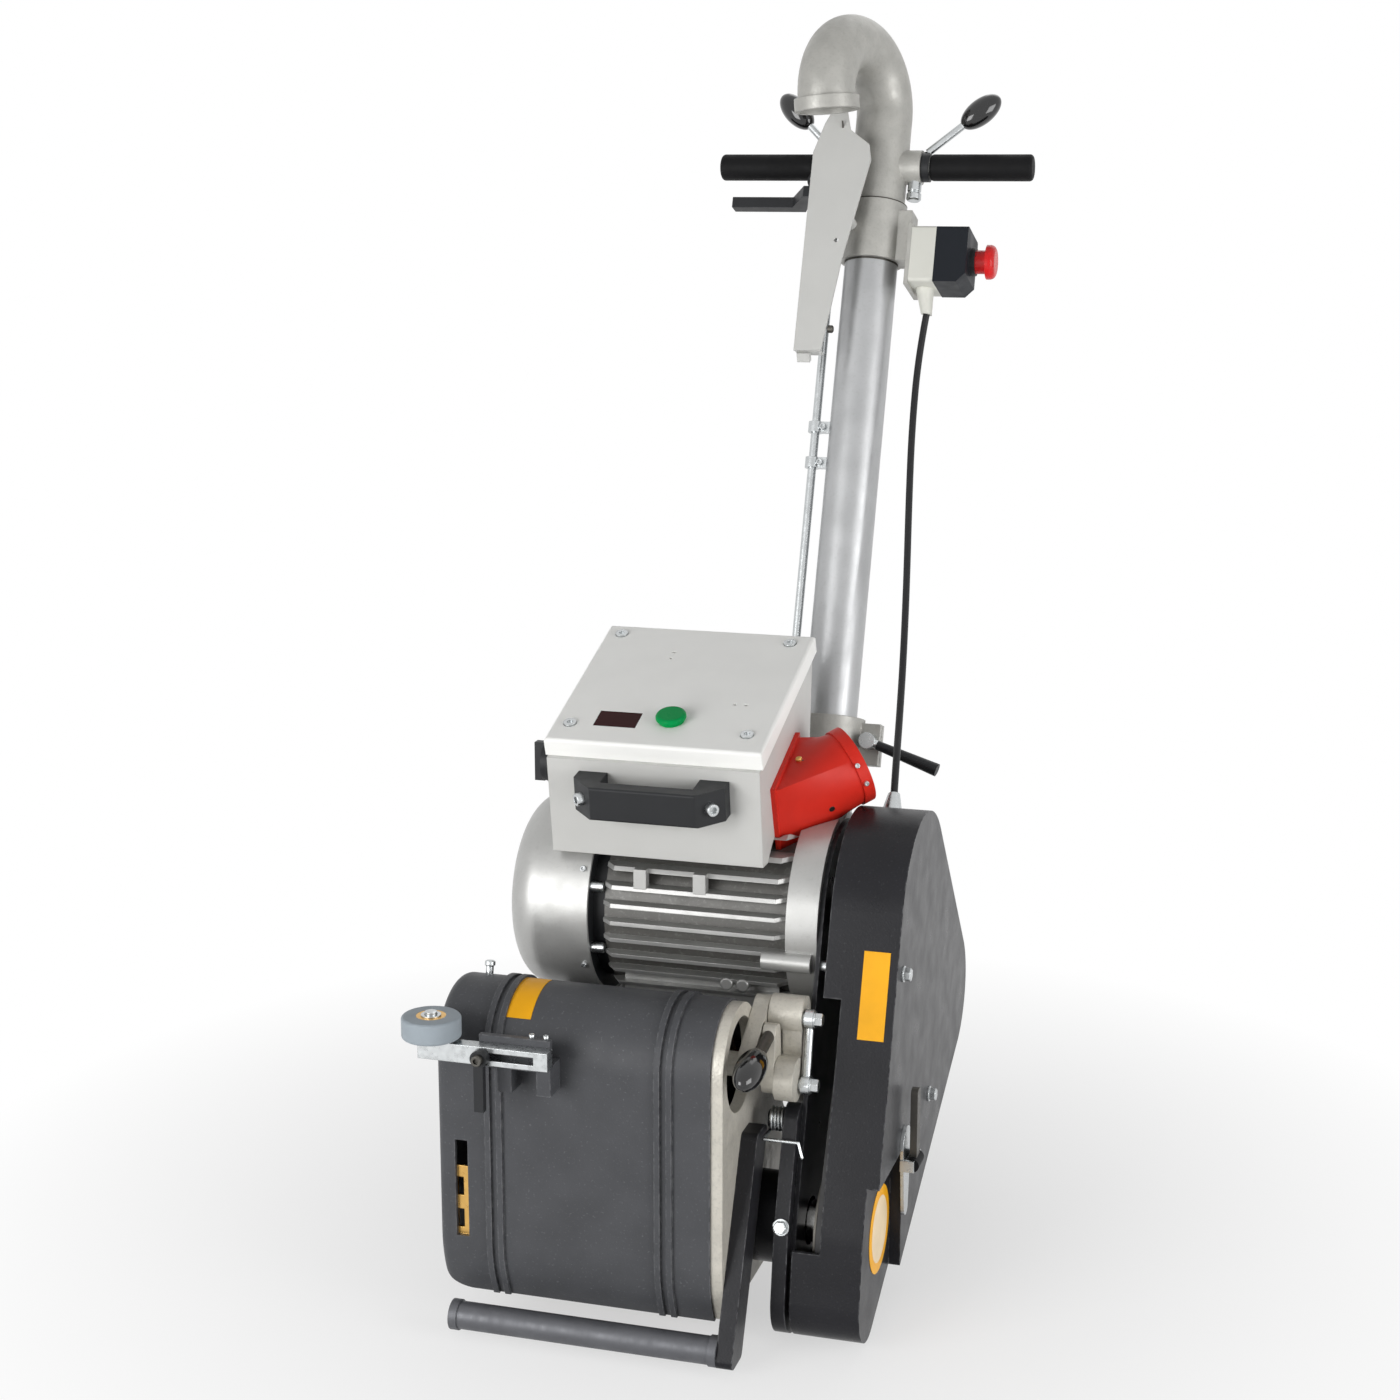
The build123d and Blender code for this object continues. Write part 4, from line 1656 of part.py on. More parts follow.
def gland(seat, normal, end, heading):
    """Tapered sleeve from a wall to the cable."""
    wide = Plane(seat, z_dir=normal) * Circle(GLAND_RADIUS)
    narrow = Plane(end, z_dir=heading) * Circle(CABLE_RADIUS + GLAND_LIP)
    return loft([wide, narrow])


def cable_glands():
    """Gland under the emergency stop and gland on the guard's top, on the cable's line."""
    points = cable_points()
    start, seam, _ = stop_stations()
    under = MAST.from_local_coords(Vector((start + seam) / 2, 0, STOP_CENTRE - STOP_SIZE / 2))
    upper = gland(under, MAST.z_dir, points[0], points[0] - points[1])
    last = points[-1]
    out = Vector(0, last.Y - MOTOR_Y, last.Z - MOTOR_Z).normalized()
    seat = Vector(last.X, MOTOR_Y, MOTOR_Z) + out * GUARD_MOTOR_RADIUS
    return group(upper, gland(seat, out, last, points[-2] - last))


def cable_path():
    """Straight runs joined by arcs as large as the runs allow."""
    points = cable_points()
    radii = []
    for before, here, after in zip(points, points[1:], points[2:]):
        turn = radians((here - before).get_angle(after - here))
        shorter = min((here - before).length, (after - here).length)
        radii.append(CABLE_BEND * shorter / (sin(turn / 2) / cos(turn / 2)))
    return FilletPolyline(*points, radius=radii)


def estop_cable():
    path = cable_path()
    section = Plane(path @ 0, z_dir=path % 0) * Circle(CABLE_RADIUS)
    return sweep(section, path=path)


# Wheel carriage and wheels


def wheel_carriage():
    """Two arms on a pivot tube, with the axle and the pin for the lift rod."""
    right = CARRIAGE_RIGHT_X + CARRIAGE_PLATE
    pivot = (CARRIAGE_Y, CARRIAGE_Z, ARM_END_RADIUS)
    outline = hull(pivot, (WHEEL_Y, WHEEL_RADIUS, ARM_END_RADIUS))
    frame = slab(outline, CARRIAGE_LEFT_X, CARRIAGE_LEFT_X + CARRIAGE_PLATE)
    frame += slab(outline, CARRIAGE_RIGHT_X, right)
    frame += cross_bar(CARRIAGE_LEFT_X, right, CARRIAGE_Y, CARRIAGE_Z, CARRIAGE_TUBE_RADIUS)
    lug = hull(pivot, (CARRIAGE_PIN_Y, CARRIAGE_PIN_Z, ARM_END_RADIUS / 2))
    frame += slab(lug, CARRIAGE_RIGHT_X, right)
    pin_left = ROD_X - ROD_EYE_WIDTH / 2 - ROD_SIDE_ROOM
    frame += cross_bar(pin_left, right, CARRIAGE_PIN_Y, CARRIAGE_PIN_Z, ROD_PIN_RADIUS)
    axle_left = WHEEL_LEFT_X - AXLE_END
    axle_right = WHEEL_RIGHT_X + WHEEL_WIDTH + AXLE_END
    frame += cross_bar(axle_left, axle_right, WHEEL_Y, WHEEL_RADIUS, AXLE_RADIUS)
    pin_hole = CARRIAGE_PIN_RADIUS + RUN_FIT
    return frame - cross_bar(CARRIAGE_LEFT_X, right, CARRIAGE_Y, CARRIAGE_Z, pin_hole)


def rear_wheel(left):
    """Rubber wheel on a dished hub."""
    right = left + WHEEL_WIDTH
    tyre = cross_bar(left, right, WHEEL_Y, WHEEL_RADIUS, WHEEL_RADIUS)
    tyre = fillet(tyre.edges(), TYRE_ROUND)
    tyre -= cross_bar(left, right, WHEEL_Y, WHEEL_RADIUS, WHEEL_HUB_RADIUS)
    hub = cross_bar(left, right, WHEEL_Y, WHEEL_RADIUS, WHEEL_HUB_RADIUS)
    for low, high in ((left, left + WHEEL_HUB_DISH), (right - WHEEL_HUB_DISH, right)):
        dish = cross_bar(low, high, WHEEL_Y, WHEEL_RADIUS, WHEEL_HUB_RADIUS - WHEEL_RIM)
        hub -= dish - cross_bar(low, high, WHEEL_Y, WHEEL_RADIUS, 2 * AXLE_RADIUS)
    hub -= cross_bar(left, right, WHEEL_Y, WHEEL_RADIUS, AXLE_RADIUS + RUN_FIT)
    return group(tyre, hub)


def wheel_left():
    return rear_wheel(WHEEL_LEFT_X)


def wheel_right():
    return rear_wheel(WHEEL_RIGHT_X)


# Screws and small fittings


def lid_screws():
    screws = []
    outward = (Align.CENTER, Align.CENTER, Align.MIN)
    for place in LID_SCREWS:
        head = Cylinder(LID_SCREW_RADIUS, LID_SCREW_HEAD, align=outward)
        head -= Pos(0, 0, LID_SCREW_SINK) * Cylinder(LID_SCREW_HEX, LID_SCREW_HEAD, align=outward)
        screws.append(on_lid(place, -LID_SCREW_SINK) * head)
    return screws


def guard_studs():
    inside = GUARD_RIGHT - GUARD_WALL
    return [cross_bar(LOBE_LEFT, inside, y, z, STUD_RADIUS) for y, z in STUD_PLACES]


def small_fittings():
    """Lid screws, guard studs, rod clips, the latch keeper and the switch plate."""
    return group(*lid_screws(), *guard_studs(), *rod_guides(), latch_keeper(), switch_plate())


NODES = (
    chassis,
    hinge_pins,
    belt_cover,
    side_door,
    front_bumper_bar,
    bumper_leg,
    guide_bracket,
    guide_bar,
    guide_wheel,
    guide_clamp_lever,
    sanding_belt,
    drum_core,
    drum_rubber,
    drum_pulley,
    bearing_housing,
    ball_bearings,
    tension_roller,
    tension_arm,
    tension_bracket,
    tension_lever,
    tracking_link,
    tension_spring,
    guard_backplate,
    belt_guard,
    drive_belts,
    guard_latch,
    motor_housing,
    motor_end_shields,
    fan_cowl,
    motor_stator,
    motor_rotor,
    fan_housing,
    fan_impeller,
    suction_duct,
    control_box,
    control_lid,
    start_button,
    bridge_handle,
    main_switch,
    power_inlet,
    tube_clamp,
    tube_clamp_lever,
    dust_tube,
    tube_collar,
    handle_head,
    handlebars,
    handle_grips,
    clamp_lever_left,
    clamp_lever_right,
    lift_lever,
    lift_rod,
    linkage_cover,
    estop_box,
    estop_button,
    cable_glands,
    estop_cable,
    wheel_carriage,
    wheel_left,
    wheel_right,
    small_fittings,
)


def main():
    os.makedirs("parts", exist_ok=True)
    for make in NODES:
        shape = Pos(-FOOTPRINT_X, -FOOTPRINT_Y, 0) * make()
        export_step(shape, f"parts/{make.__name__}.step")


main()
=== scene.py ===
# %% [markdown]
# A belt floor sander, dressed for its portrait.
# The solids of the machine are already drawn at their real size, so this lesson leaves their
# shapes alone. It sets the camera and the light, gives every solid a finish, and adds the small
# things that a solid model leaves out, such as screws, stickers and a cable.

# %% Load the solids
from math import cos, pi, radians, sin, sqrt

import bmesh
import bpy
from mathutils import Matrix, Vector
from mathutils.bvhtree import BVHTree


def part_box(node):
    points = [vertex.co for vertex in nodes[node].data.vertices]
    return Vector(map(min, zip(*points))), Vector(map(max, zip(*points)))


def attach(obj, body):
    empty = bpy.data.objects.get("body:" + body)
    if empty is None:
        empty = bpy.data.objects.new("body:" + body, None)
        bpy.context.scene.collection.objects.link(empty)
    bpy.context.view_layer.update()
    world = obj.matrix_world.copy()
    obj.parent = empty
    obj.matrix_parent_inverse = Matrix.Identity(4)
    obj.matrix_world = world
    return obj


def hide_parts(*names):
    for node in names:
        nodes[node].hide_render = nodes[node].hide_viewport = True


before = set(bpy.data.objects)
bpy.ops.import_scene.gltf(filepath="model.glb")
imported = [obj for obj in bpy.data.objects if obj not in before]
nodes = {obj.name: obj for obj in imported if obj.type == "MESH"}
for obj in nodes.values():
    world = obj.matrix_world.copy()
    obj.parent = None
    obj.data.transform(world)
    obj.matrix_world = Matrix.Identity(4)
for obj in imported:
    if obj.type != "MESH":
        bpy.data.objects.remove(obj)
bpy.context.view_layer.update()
MM = 0.001

# %% [markdown]
# The camera comes first, because everything later is judged through it. A long lens, far away,
# keeps the leaning mast straight. The picture was taken from a little to the right and from
# about the height of the handle, so the camera stands there and looks down on the motor.

# %% Camera
CAMERA_PLACE = (0.5592, -2.0024, 0.950)
CAMERA_TURN = radians(16.7)
CAMERA_DIP = radians(12.58)
LENS = 62.23

lens = bpy.data.cameras.new("portrait_camera")
lens.lens = LENS
camera = bpy.data.objects.new("portrait_camera", lens)
camera.location = CAMERA_PLACE
camera.rotation_euler = (pi / 2 - CAMERA_DIP, 0, CAMERA_TURN)
scene = bpy.context.scene
scene.collection.objects.link(camera)
scene.camera = camera
scene.view_settings.view_transform = "Standard"
print("camera", round(camera.location.length, 2), "m from the machine")

# %% [markdown]
# A soft studio is three wide lamps. The key lamp stands low at the front left, so that upright
# faces are brighter than flat ones. The fill at the right lights the side of the belt guard, and
# a weak lamp behind draws a line round the mast. Wide lamps give soft shadows. Each row below is
# a lamp's name, place, width in metres and power in watts.

# %% Lamps
LAMPS = (
    ("key_lamp", (-1.3, -2.3, 0.75), 1.5, 44.0),
    ("fill_lamp", (2.3, -0.9, 0.7), 1.5, 34.0),
    ("back_lamp", (0.3, 1.9, 2.4), 1.6, 7.0),
)
LAMP_TARGET = Vector((0.0, 0.0, 0.45))

for name, place, width, power in LAMPS:
    lamp = bpy.data.lights.new(name, "AREA")
    lamp.size = width
    lamp.energy = power
    holder = bpy.data.objects.new(name, lamp)
    holder.location = place
    holder.rotation_euler = (LAMP_TARGET - Vector(place)).to_track_quat("-Z", "Y").to_euler()
    scene.collection.objects.link(holder)
print(len(LAMPS), "lamps")

# %% [markdown]
# The world is a plain white room. It looks white straight on, in reflections and through glass,
# but it lights the machine only gently, so that the lamps can still shape it. The helper tells
# looking rays from lighting rays, and the floor uses it again.

# %% White room
ROOM_LIGHT = 0.24


def looking(tree):
    """Output that is 1 for rays that look, be it straight, in a mirror or through glass."""
    rays = tree.nodes.new("ShaderNodeLightPath")
    shown = rays.outputs["Is Camera Ray"]
    for kind in ("Is Glossy Ray", "Is Transmission Ray"):
        either = tree.nodes.new("ShaderNodeMath")
        either.operation = "MAXIMUM"
        tree.links.new(shown, either.inputs[0])
        tree.links.new(rays.outputs[kind], either.inputs[1])
        shown = either.outputs[0]
    return shown


world = bpy.data.worlds.new("white_room")
scene.world = world
world.use_nodes = True
room = world.node_tree
background = room.nodes["Background"]
background.inputs["Color"].default_value = (1.0, 1.0, 1.0, 1.0)
level = room.nodes.new("ShaderNodeMapRange")
level.inputs["To Min"].default_value = ROOM_LIGHT
level.inputs["To Max"].default_value = 1.0
room.links.new(looking(room), level.inputs["Value"])
room.links.new(level.outputs["Result"], background.inputs["Strength"])
print("room light", ROOM_LIGHT)

# %% [markdown]
# Every finish here is mixed from the same few nodes. Noise in object space moves with the piece
# and has a real size: a noise scale of 1000 makes grains of about a millimetre. One noise tints
# the colour, one changes the gloss, and a fine one raises the surface. A bevel node rounds the
# shading along sharp edges, so that they catch light as a real edge does.

# %% Finish helpers
EDGE_ROUND = 0.7 * MM
EDGE_SAMPLES = 4
EDGE_BEND = (0.80, 0.97)
WEAR_PATCH = 6 * MM
WEAR_SPREAD = (0.42, 0.60)


def srgb(red, green, blue):
    """Linear colour from the 0 to 255 values that a picture shows."""
    shares = [value / 255 for value in (red, green, blue)]
    return [
        share / 12.92 if share <= 0.04045 else ((share + 0.055) / 1.055) ** 2.4
        for share in shares
    ]


class Finish:
    """A material under construction: its node tree, its shader and its object coordinates."""

    def __init__(self, name, color, roughness, metallic=0.0, shine=0.5):
        self.material = bpy.data.materials.new(name)
        self.material.use_nodes = True
        self.tree = self.material.node_tree
        self.shader = self.tree.nodes["Principled BSDF"]
        self.set("Base Color", (*color, 1.0))
        self.set("Roughness", roughness)
        self.set("Metallic", metallic)
        self.set("Specular IOR Level", shine)
        self.color = color
        self.place = self.node("ShaderNodeTexCoord").outputs["Object"]

    def node(self, kind, **settings):
        made = self.tree.nodes.new(kind)
        for name, value in settings.items():
            setattr(made, name, value)
        return made

    def set(self, socket, value):
        self.shader.inputs[socket].default_value = value

    def link(self, output, target):
        self.tree.links.new(output, target)

    def noise(self, grain, stretch=(1, 1, 1), detail=3.0):
        """Noise whose grains are about that size in metres."""
        noise = self.node("ShaderNodeTexNoise")
        noise.inputs["Scale"].default_value = 1.0 / grain
        noise.inputs["Detail"].default_value = detail
        scaling = self.node("ShaderNodeMapping")
        scaling.inputs["Scale"].default_value = stretch
        self.link(self.place, scaling.inputs["Vector"])
        self.link(scaling.outputs["Vector"], noise.inputs["Vector"])
        return noise.outputs["Fac"]

    def spread(self, source, low, high, start=0.3, end=0.7):
        """Value from low to high as the source goes from start to end."""
        ramp = self.node("ShaderNodeMapRange")
        limits = {"From Min": start, "From Max": end, "To Min": low, "To Max": high}
        for socket, value in limits.items():
            ramp.inputs[socket].default_value = value
        self.link(source, ramp.inputs["Value"])
        return ramp.outputs["Result"]

    def tint(self, share, other):
        """Mix the present colour with another one by a 0 to 1 share."""
        mix = self.node("ShaderNodeMix", data_type="RGBA")
        socket = self.shader.inputs["Base Color"]
        if socket.is_linked:
            self.link(socket.links[0].from_socket, mix.inputs["A"])
        else:
            mix.inputs["A"].default_value = socket.default_value
        mix.inputs["B"].default_value = (*other, 1.0)
        self.link(share, mix.inputs["Factor"])
        self.link(mix.outputs["Result"], socket)

    def mottle(self, grain, amount):
        """Lighter and darker patches of the finish's own colour."""
        light = [min(1.0, value * (1 + amount)) for value in self.color]
        self.tint(self.spread(self.noise(grain), 0.0, 1.0), light)

    def gloss(self, grain, low, high, stretch=(1, 1, 1)):
        """Roughness that wanders between two values."""
        patches = self.spread(self.noise(grain, stretch), low, high)
        self.link(patches, self.shader.inputs["Roughness"])

    def relief(self, source, depth, edge=EDGE_ROUND):
        """Raise the surface by the source, over edges that shade as if rounded."""
        corner = self.node("ShaderNodeBevel", samples=EDGE_SAMPLES)
        corner.inputs["Radius"].default_value = edge
        bump = self.node("ShaderNodeBump")
        bump.inputs["Distance"].default_value = depth
        bump.inputs["Strength"].default_value = 1.0
        self.link(source, bump.inputs["Height"])
        self.link(corner.outputs["Normal"], bump.inputs["Normal"])
        self.link(bump.outputs["Normal"], self.shader.inputs["Normal"])

    def worn_edges(self, bare, reach, amount):
        """Rub the colour off along edges, where a wide rounding leaves the true surface."""
        corner = self.node("ShaderNodeBevel", samples=EDGE_SAMPLES)
        corner.inputs["Radius"].default_value = reach
        surface = self.node("ShaderNodeNewGeometry")
        turn = self.node("ShaderNodeVectorMath", operation="DOT_PRODUCT")
        self.link(corner.outputs["Normal"], turn.inputs[0])
        self.link(surface.outputs["Normal"], turn.inputs[1])
        rubbed = self.spread(turn.outputs["Value"], amount, 0.0, *EDGE_BEND)
        patch = self.spread(self.noise(WEAR_PATCH), 0.0, 1.0, *WEAR_SPREAD)
        both = self.node("ShaderNodeMath", operation="MULTIPLY")
        self.link(rubbed, both.inputs[0])
        self.link(patch, both.inputs[1])
        self.tint(both.outputs[0], bare)


print("finish helpers ready")

# %% [markdown]
# The covers are steel and cast iron under charcoal powder coat. Baked powder is never flat: it
# flows into a fine orange peel, and a few lighter specks sit in it. On the edges that are knocked
# most the coat is thin and a greyer tone comes through. The belt guard wears a blacker and
# glossier one: it stays dark straight on and turns pale at a glancing angle.

# %% Charcoal coat
CHARCOAL = srgb(68, 69, 72)
CHARCOAL_WORN = srgb(118, 119, 121)
GUARD_BLACK = srgb(35, 35, 38)


def dark_coat(name, color, low, high, shine, speckle):
    """Powder coat with a roughness from low to high and a share of paler specks."""
    coat = Finish(name, color, low, shine=shine)
    coat.mottle(40 * MM, 0.22)
    specks = coat.noise(2.2 * MM)
    coat.tint(coat.spread(specks, 0.0, speckle, 0.62, 0.74), CHARCOAL_WORN)
    coat.worn_edges(CHARCOAL_WORN, 2.2 * MM, 0.8)
    coat.gloss(25 * MM, low, high)
    coat.relief(coat.noise(1.6 * MM, detail=4.0), 0.12 * MM)
    return coat.material


charcoal = dark_coat("charcoal_coat", CHARCOAL, 0.40, 0.54, shine=0.25, speckle=0.35)
guard_black = dark_coat("guard_coat", GUARD_BLACK, 0.27, 0.36, shine=0.15, speckle=0.08)
print(charcoal.name, guard_black.name)

# %% [markdown]
# Motor, tube and fan wear silver paint. It is half paint, half metal flake, so its metallic value
# stays in between: full metal would mirror the room, plain paint would look like plastic. Deep
# between the fins of the motor the barrel gets a darker silver, which is painted shade.

# %% Silver paint
SILVER = srgb(174, 174, 172)
SILVER_TUBE = srgb(172, 173, 174)
SILVER_DARK = srgb(154, 154, 151)
FIN_PAINTED_SHADE = srgb(84, 83, 80)


def silver_paint(name, color, metallic, grain, depth):
    """Flake paint over a skin with grains and a relief in millimetres."""
    paint = Finish(name, color, 0.38, metallic)
    paint.mottle(30 * MM, 0.12)
    flakes = paint.noise(3 * MM)
    paint.tint(paint.spread(flakes, 0.0, 0.25, 0.55, 0.75), SILVER_DARK)
    paint.gloss(18 * MM, 0.30, 0.44)
    paint.relief(paint.noise(grain * MM, detail=4.0), depth * MM)
    return paint.material


silver = silver_paint("silver_paint", SILVER, 0.45, grain=1.2, depth=0.05)
tube_silver = silver_paint("tube_silver", SILVER_TUBE, 0.6, grain=0.6, depth=0.02)
# Painted shade: a dark silver for the barrel deep between the fins.
fin_painted_shade = silver_paint("fin_painted_shade", FIN_PAINTED_SHADE, 0.2, grain=1.2, depth=0.05)
print(silver.name, tube_silver.name, fin_painted_shade.name)

# %% [markdown]
# The gooseneck head, the collar and the brackets are sand castings. Their skin has a soft pebbly
# relief and a warm grey, with smoother stretches where a wheel has ground the flash away.

# %% Cast aluminium
CAST = srgb(170, 169, 164)
CAST_PALE = srgb(190, 186, 176)
CAST_DARK = srgb(152, 150, 144)


def cast_metal(name, color, depth):
    """Sand casting whose pebbles are that many millimetres deep."""
    casting = Finish(name, color, 0.42, 0.3)
    casting.mottle(14 * MM, 0.16)
    pebbles = casting.noise(2.5 * MM)
    casting.tint(casting.spread(pebbles, 0.0, 0.3, 0.52, 0.72), CAST_DARK)
    casting.gloss(9 * MM, 0.34, 0.54)
    casting.relief(casting.noise(2.0 * MM, detail=5.0), depth * MM, 1.4 * MM)
    return casting.material


cast = cast_metal("cast_aluminium", CAST, depth=0.18)
rough_cast = cast_metal("bracket_casting", CAST_PALE, depth=0.35)
print(cast.name, rough_cast.name)

# %% [markdown]
# The control box and the linkage cover are folded sheet under light grey powder coat. It is the
# palest thing in the picture, so its colour is kept well below white to leave room for light.
# The lid lies flat and gets less light than the front, so its coat is a shade paler. The stop
# button's box wears the same coat in two greys.

# %% Light grey coat
GLOSS_RANGE = 0.07


def powder_coat(name, color, roughness, shine=0.4):
    coat = Finish(name, srgb(*color), roughness, shine=shine)
    coat.mottle(60 * MM, 0.05)
    coat.gloss(20 * MM, roughness - GLOSS_RANGE, roughness + GLOSS_RANGE)
    coat.relief(coat.noise(1.1 * MM, detail=3.0), 0.05 * MM, 1.2 * MM)
    return coat.material


box_coat = powder_coat("box_coat", (198, 198, 195), 0.46)
lid_coat = powder_coat("lid_coat", (244, 244, 241), 0.46)
stop_grey = powder_coat("stop_base_grey", (214, 214, 206), 0.5)
stop_dark = powder_coat("stop_cover_dark", (32, 35, 40), 0.46, shine=0.12)
print(box_coat.name, lid_coat.name, stop_grey.name, stop_dark.name)

# %% [markdown]
# Bright steel comes in three kinds: zinc plate on small fittings, ground shafts, and the bumper
# bar, which has rubbed along skirting boards until its skin is dull and dented. Oiled steel,
# brass and the copper of the windings are the same recipe in other colours. The dark oiled steel
# also serves as painted shade, for a slot in the cover on the mast and for a slot and a screw
# hole in the inlet.

# %% Steels
EVEN = (1, 1, 1)
ALONG_BAR = (1, 0.2, 0.2)
ALONG_WIRE = (0.1, 1, 1)


def steel(name, color, low, high, depth, stretch=EVEN, grain=4, metallic=1.0):
    """Metal with a roughness from low to high; grain and depth are in millimetres."""
    metal = Finish(name, srgb(*color), low, metallic)
    metal.mottle(12 * MM, 0.15)
    metal.gloss(grain * MM, low, high, stretch)
    metal.relief(metal.noise(grain * MM / 3, stretch), depth * MM)
    return metal.material


zinc = steel("zinc_plate", (186, 189, 190), 0.22, 0.38, 0.02)
rolled = steel("bumper_steel", (92, 93, 97), 0.38, 0.60, 0.25, ALONG_BAR, 9, 0.4)
shaft = steel("ground_shaft", (190, 190, 188), 0.12, 0.24, 0.01)
dark_steel_and_painted_shade = steel("oiled_steel_and_painted_shade", (84, 82, 78), 0.35, 0.5, 0.05)
brass = steel("brass", (200, 160, 92), 0.25, 0.42, 0.04)
copper = steel("winding_copper", (176, 104, 62), 0.32, 0.45, 0.15, ALONG_WIRE)
print(zinc.name, rolled.name, shaft.name, brass.name)

# %% [markdown]
# Plastics and rubbers differ mostly in gloss. The knobs are polished and mirror the lamps, the
# bridge handle has a moulded grain, and rubber scatters light from a chalky bloom.

# %% Plastics and rubbers
def moulded(name, color, low, high, grain, depth, coat=0.0, shine=0.5):
    """Plastic with a roughness from low to high; grain and depth are in millimetres."""
    plastic = Finish(name, srgb(*color), low, shine=shine)
    plastic.mottle(25 * MM, 0.12)
    plastic.gloss(15 * MM, low, high)
    plastic.set("Coat Weight", coat)
    plastic.relief(plastic.noise(grain * MM), depth * MM)
    return plastic.material


knob_black = moulded("knob_black", (18, 18, 19), 0.07, 0.13, 8, 0.01, coat=0.4)
black_plastic = moulded("black_plastic", (36, 37, 39), 0.40, 0.52, 0.8, 0.06, shine=0.25)
grip_rubber = moulded("grip_rubber", (20, 20, 21), 0.50, 0.66, 0.9, 0.10, shine=0.12)
tyre_rubber = moulded("tyre_rubber", (44, 44, 45), 0.55, 0.72, 1.5, 0.15)
guide_rubber = moulded("guide_rubber", (146, 155, 162), 0.46, 0.58, 1.2, 0.05, shine=0.3)
cable_jacket = moulded("cable_jacket", (26, 26, 28), 0.36, 0.46, 1.0, 0.02, shine=0.3)
inlet_red = moulded("inlet_red", (206, 44, 32), 0.34, 0.44, 1.5, 0.03, shine=0.18)
button_red = moulded("button_red", (206, 30, 32), 0.24, 0.32, 3, 0.01, shine=0.25)
button_green = moulded("button_green", (6, 140, 72), 0.26, 0.34, 3, 0.01, shine=0.06)
window_glass = moulded("window_glass", (54, 18, 20), 0.10, 0.16, 6, 0.005, shine=0.05)
sticker_yellow = moulded("sticker_yellow", (240, 172, 26), 0.36, 0.46, 4, 0.02, shine=0.2)
sticker_pale = moulded("sticker_pale", (238, 216, 180), 0.36, 0.46, 4, 0.02, shine=0.2)
drum_rubber = moulded("drum_rubber", (50, 48, 46), 0.55, 0.68, 1.5, 0.1)
belt_black = moulded("drive_belt_black", (36, 36, 37), 0.5, 0.64, 1.0, 0.08)
print(knob_black.name, grip_rubber.name, inlet_red.name, sticker_yellow.name)

# %% [markdown]
# The sanding belt is grit glued to cloth. Cells of a Voronoi pattern stand for the grains: each
# one is raised, and the gaps between them stay dark with resin.

# %% Abrasive grit
GRAIN_SIZE = 1.1 * MM
GRAIN_BROWN = srgb(92, 70, 52)
RESIN_BROWN = srgb(40, 28, 22)


def abrasive_cloth():
    cloth = Finish("abrasive_cloth", GRAIN_BROWN, 0.75)
    cells = cloth.node("ShaderNodeTexVoronoi")
    cells.inputs["Scale"].default_value = 1.0 / GRAIN_SIZE
    cloth.link(cloth.place, cells.inputs["Vector"])
    cloth.tint(cloth.spread(cells.outputs["Distance"], 0.0, 0.8, 0.25, 0.7), RESIN_BROWN)
    cloth.mottle(20 * MM, 0.2)
    cloth.relief(cells.outputs["Distance"], -0.4 * MM)
    return cloth.material


abrasive = abrasive_cloth()
print(abrasive.name)

# %% [markdown]
# Now the finishes go onto the solids. Every piece first takes the finish that covers most of it.

# %% Paint the solids
COATS = {
    charcoal: "belt_cover side_door chassis guide_bracket",
    guard_black: "belt_guard guard_backplate bumper_leg bearing_housing",
    silver: "motor_housing fan_cowl motor_end_shields fan_housing suction_duct",
    tube_silver: "dust_tube",
    cast: "handle_head tube_collar tube_clamp",
    rough_cast: "tension_bracket tension_arm",
    box_coat: "control_box linkage_cover",
    lid_coat: "control_lid",
    zinc: "guide_bar tracking_link tension_spring small_fittings lift_rod cable_glands",
    rolled: "front_bumper_bar",
    shaft: "hinge_pins handlebars ball_bearings tension_roller drum_core",
    dark_steel_and_painted_shade: "drum_pulley motor_rotor wheel_carriage guard_latch",
    copper: "motor_stator",
    knob_black: "tension_lever clamp_lever_left clamp_lever_right",
    black_plastic: "bridge_handle main_switch guide_clamp_lever tube_clamp_lever "
    "lift_lever fan_impeller",
    grip_rubber: "handle_grips",
    tyre_rubber: "wheel_left wheel_right",
    guide_rubber: "guide_wheel",
    cable_jacket: "estop_cable",
    inlet_red: "power_inlet",
    button_red: "estop_button",
    button_green: "start_button",
    stop_dark: "estop_box",
    drum_rubber: "drum_rubber",
    belt_black: "drive_belts",
    abrasive: "sanding_belt",
}

for coat, names in COATS.items():
    for name in names.split():
        mesh = nodes[name].data
        mesh.materials.clear()
        mesh.materials.append(coat)
        for face in mesh.polygons:
            face.material_index = 0
left_out = sorted(name for name, solid in nodes.items() if len(solid.data.materials) != 1)
print("solids without a finish:", left_out)

# %% [markdown]
# A piece made of two materials gets a second finish on the faces whose middle lies in a certain
# place, which needs no new shape. The wheels show it: what is near the axle is hub, the rest tyre.

# %% Second finishes
GUIDE_HUB_RADIUS = 12.5 * MM
WHEEL_RIM_RADIUS = 36.5 * MM


def repaint(name, coat, inside):
    """Give another finish to the faces of a solid whose middle passes the test."""
    mesh = nodes[name].data
    mesh.materials.append(coat)
    index = len(mesh.materials) - 1
    chosen = [face for face in mesh.polygons if inside(face.center)]
    for face in chosen:
        face.material_index = index
    print(name, coat.name, len(chosen), "faces")


def middle(name):
    low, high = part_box(name)
    return (low + high) / 2


def beside(axis, point):
    """Distance in metres from an axis, given as the letters of its two cross directions."""
    def distance(place):
        return sqrt(sum((getattr(place, way) - getattr(point, way)) ** 2 for way in axis))
    return distance


from_hub = beside("xy", middle("guide_wheel"))
repaint("guide_wheel", brass, lambda place: from_hub(place) < GUIDE_HUB_RADIUS)
for wheel in ("wheel_left", "wheel_right"):
    from_axle = beside("yz", middle(wheel))
    repaint(wheel, box_coat, lambda place: from_axle(place) < WHEEL_RIM_RADIUS)

